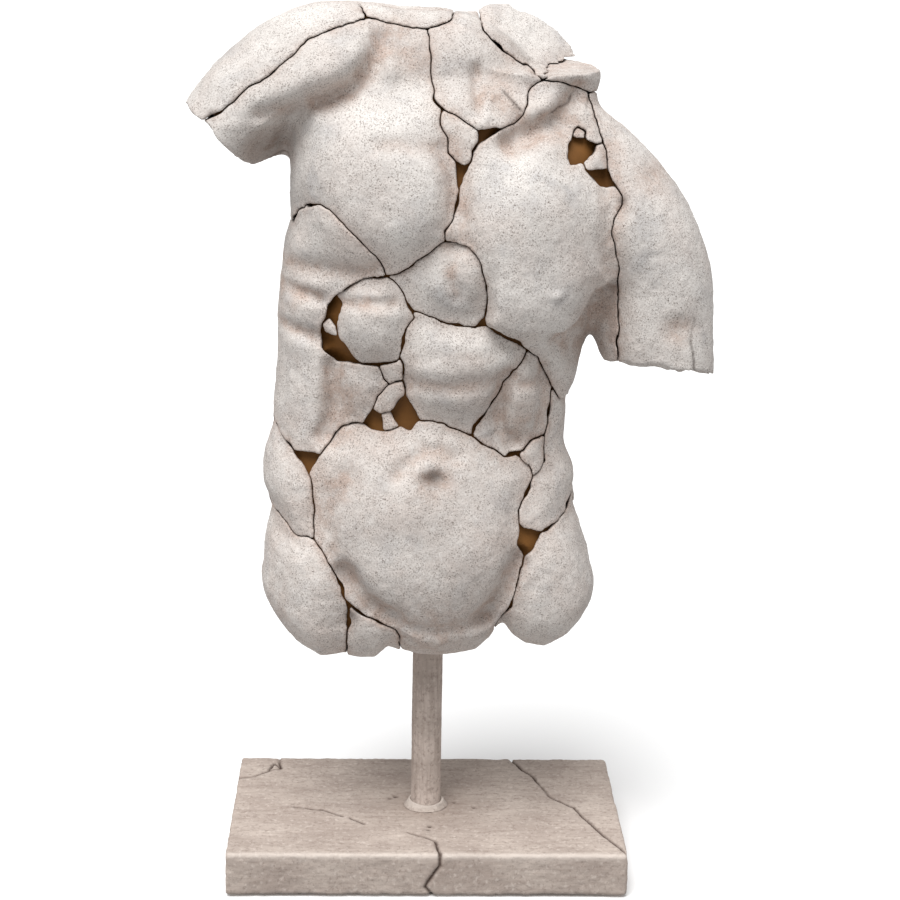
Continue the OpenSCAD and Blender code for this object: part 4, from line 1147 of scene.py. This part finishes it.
def build_post():
    """The post: a rough tube round the rod."""
    low, high = (np.array(v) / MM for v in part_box("post"))
    heights = np.arange(low[2], high[2] + 0.1, POST_STEP)
    heights = low[2] + (heights - low[2]) * (high[2] - low[2]) / (heights[-1] - low[2])
    profile = [(POST_R, h) for h in heights] + [(ROD_HOLE_R, h) for h in heights[::-1]]

    def warp(turn, r, z):
        x, y = POST_R * np.cos(turn), POST_R * np.sin(turn)
        worn = 0.12 * noise(x, y, z / 6, 3, 3) + 0.10 * noise(x, y, z, 2.5, 5) - POST_WORN
        return r + np.where(r > ROD_HOLE_R + 0.1, worn, 0), z

    obj = revolve("base_post", profile, POST_SIDES, warp, POST_STONE, "post")
    for name in ("wall", "stain_and_shade", "lip"):
        add_attribute(obj, name, np.zeros(len(obj.data.vertices)))


def build_bead():
    """The ragged cement bead where the post meets the slab."""
    low, high = (np.array(v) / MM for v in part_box("post_bead"))
    inside, outside, top = POST_R + POST_FIT, high[0], high[2]
    steps = np.linspace(0, 1, 9)
    slope = [(outside + (inside + BEAD_TOP_WIDE - outside) * u, low[2] + (top - low[2]) * u ** BEAD_CURVE)
             for u in steps]
    profile = slope + [(inside, top), (inside, low[2])]

    def warp(turn, r, z):
        x, y = r * np.cos(turn), r * np.sin(turn)
        ragged = 0.5 + 0.5 * noise(np.cos(turn) * 14, np.sin(turn) * 14, 0, 7, 6)
        lump = BEAD_LUMPS * noise(x, y, z, 2.2, 2)
        high_share = (z - low[2]) / (top - low[2])
        outer = r > inside + 0.1
        r = np.where(outer, inside + (r - inside) * (0.45 + 0.5 * ragged) + lump * high_share, r)
        return np.clip(r, inside, outside), low[2] + (z - low[2]) * (0.35 + 0.6 * ragged)

    obj = revolve("base_cement_bead", profile, BEAD_SIDES, warp, BASE_STONE, "post_bead")
    z = np.array([v.co.z for v in obj.data.vertices]) / MM
    for name, values in (("wall", 0 * z), ("stain_and_shade", 0 * z), ("lip", ease((z - low[2]) / 3) * 0.8)):
        add_attribute(obj, name, values)


build_slab()
build_post()
build_bead()
STEEL_NODES = ["threaded_rod", "lower_washer", "lower_nut", "clamp_plate", "upper_washer", "upper_nut"]
for name, material in [("base_pad", FOAM)] + [(name, STEEL) for name in STEEL_NODES]:
    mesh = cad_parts[name].data
    mesh.materials.clear()
    mesh.materials.append(material)


# --- Studio -----------------------------------------------------------------------------------
FLOOR_HALF = 30                 # m, wide enough to fill the camera's view
SKY = 0.54
SUN = 3.4
SUN_FROM = (-0.2, -0.45, 1.0)
SUN_SOFT = 40                   # degrees across, like a large soft box


def make_studio():
    """White sky, one soft sun and a white floor."""
    world = bpy.data.worlds.new("studio")
    bpy.context.scene.world = world
    world.use_nodes = True
    sky = world.node_tree.nodes["Background"]
    sky.inputs["Color"].default_value = (1, 1, 1, 1)
    sky.inputs["Strength"].default_value = SKY
    mesh = bpy.data.meshes.new("floor")
    w = FLOOR_HALF
    mesh.from_pydata([(-w, -w, 0), (w, -w, 0), (w, w, 0), (-w, w, 0)], [], [(0, 1, 2, 3)])
    floor = bpy.data.objects.new("floor", mesh)
    bpy.context.scene.collection.objects.link(floor)
    n = Nodes("floor_paint", 0.9)
    white = n.mix(n.noise(2, 2), (0.94, 0.94, 0.94), (0.96, 0.96, 0.96))
    mesh.materials.append(n.finish(white, n.bump(n.noise(50, 2), 0.0001, 0.1)))
    floor.visible_diffuse = False   # or the white floor lights the torso from below as brightly as the sky
    light = bpy.data.lights.new("key", "SUN")
    light.energy = SUN
    light.angle = math.radians(SUN_SOFT)
    key = bpy.data.objects.new("key", light)
    key.rotation_euler = Vector(SUN_FROM).to_track_quat("Z", "Y").to_euler()
    bpy.context.scene.collection.objects.link(key)
    bpy.context.scene.view_settings.view_transform = "Standard"


make_studio()
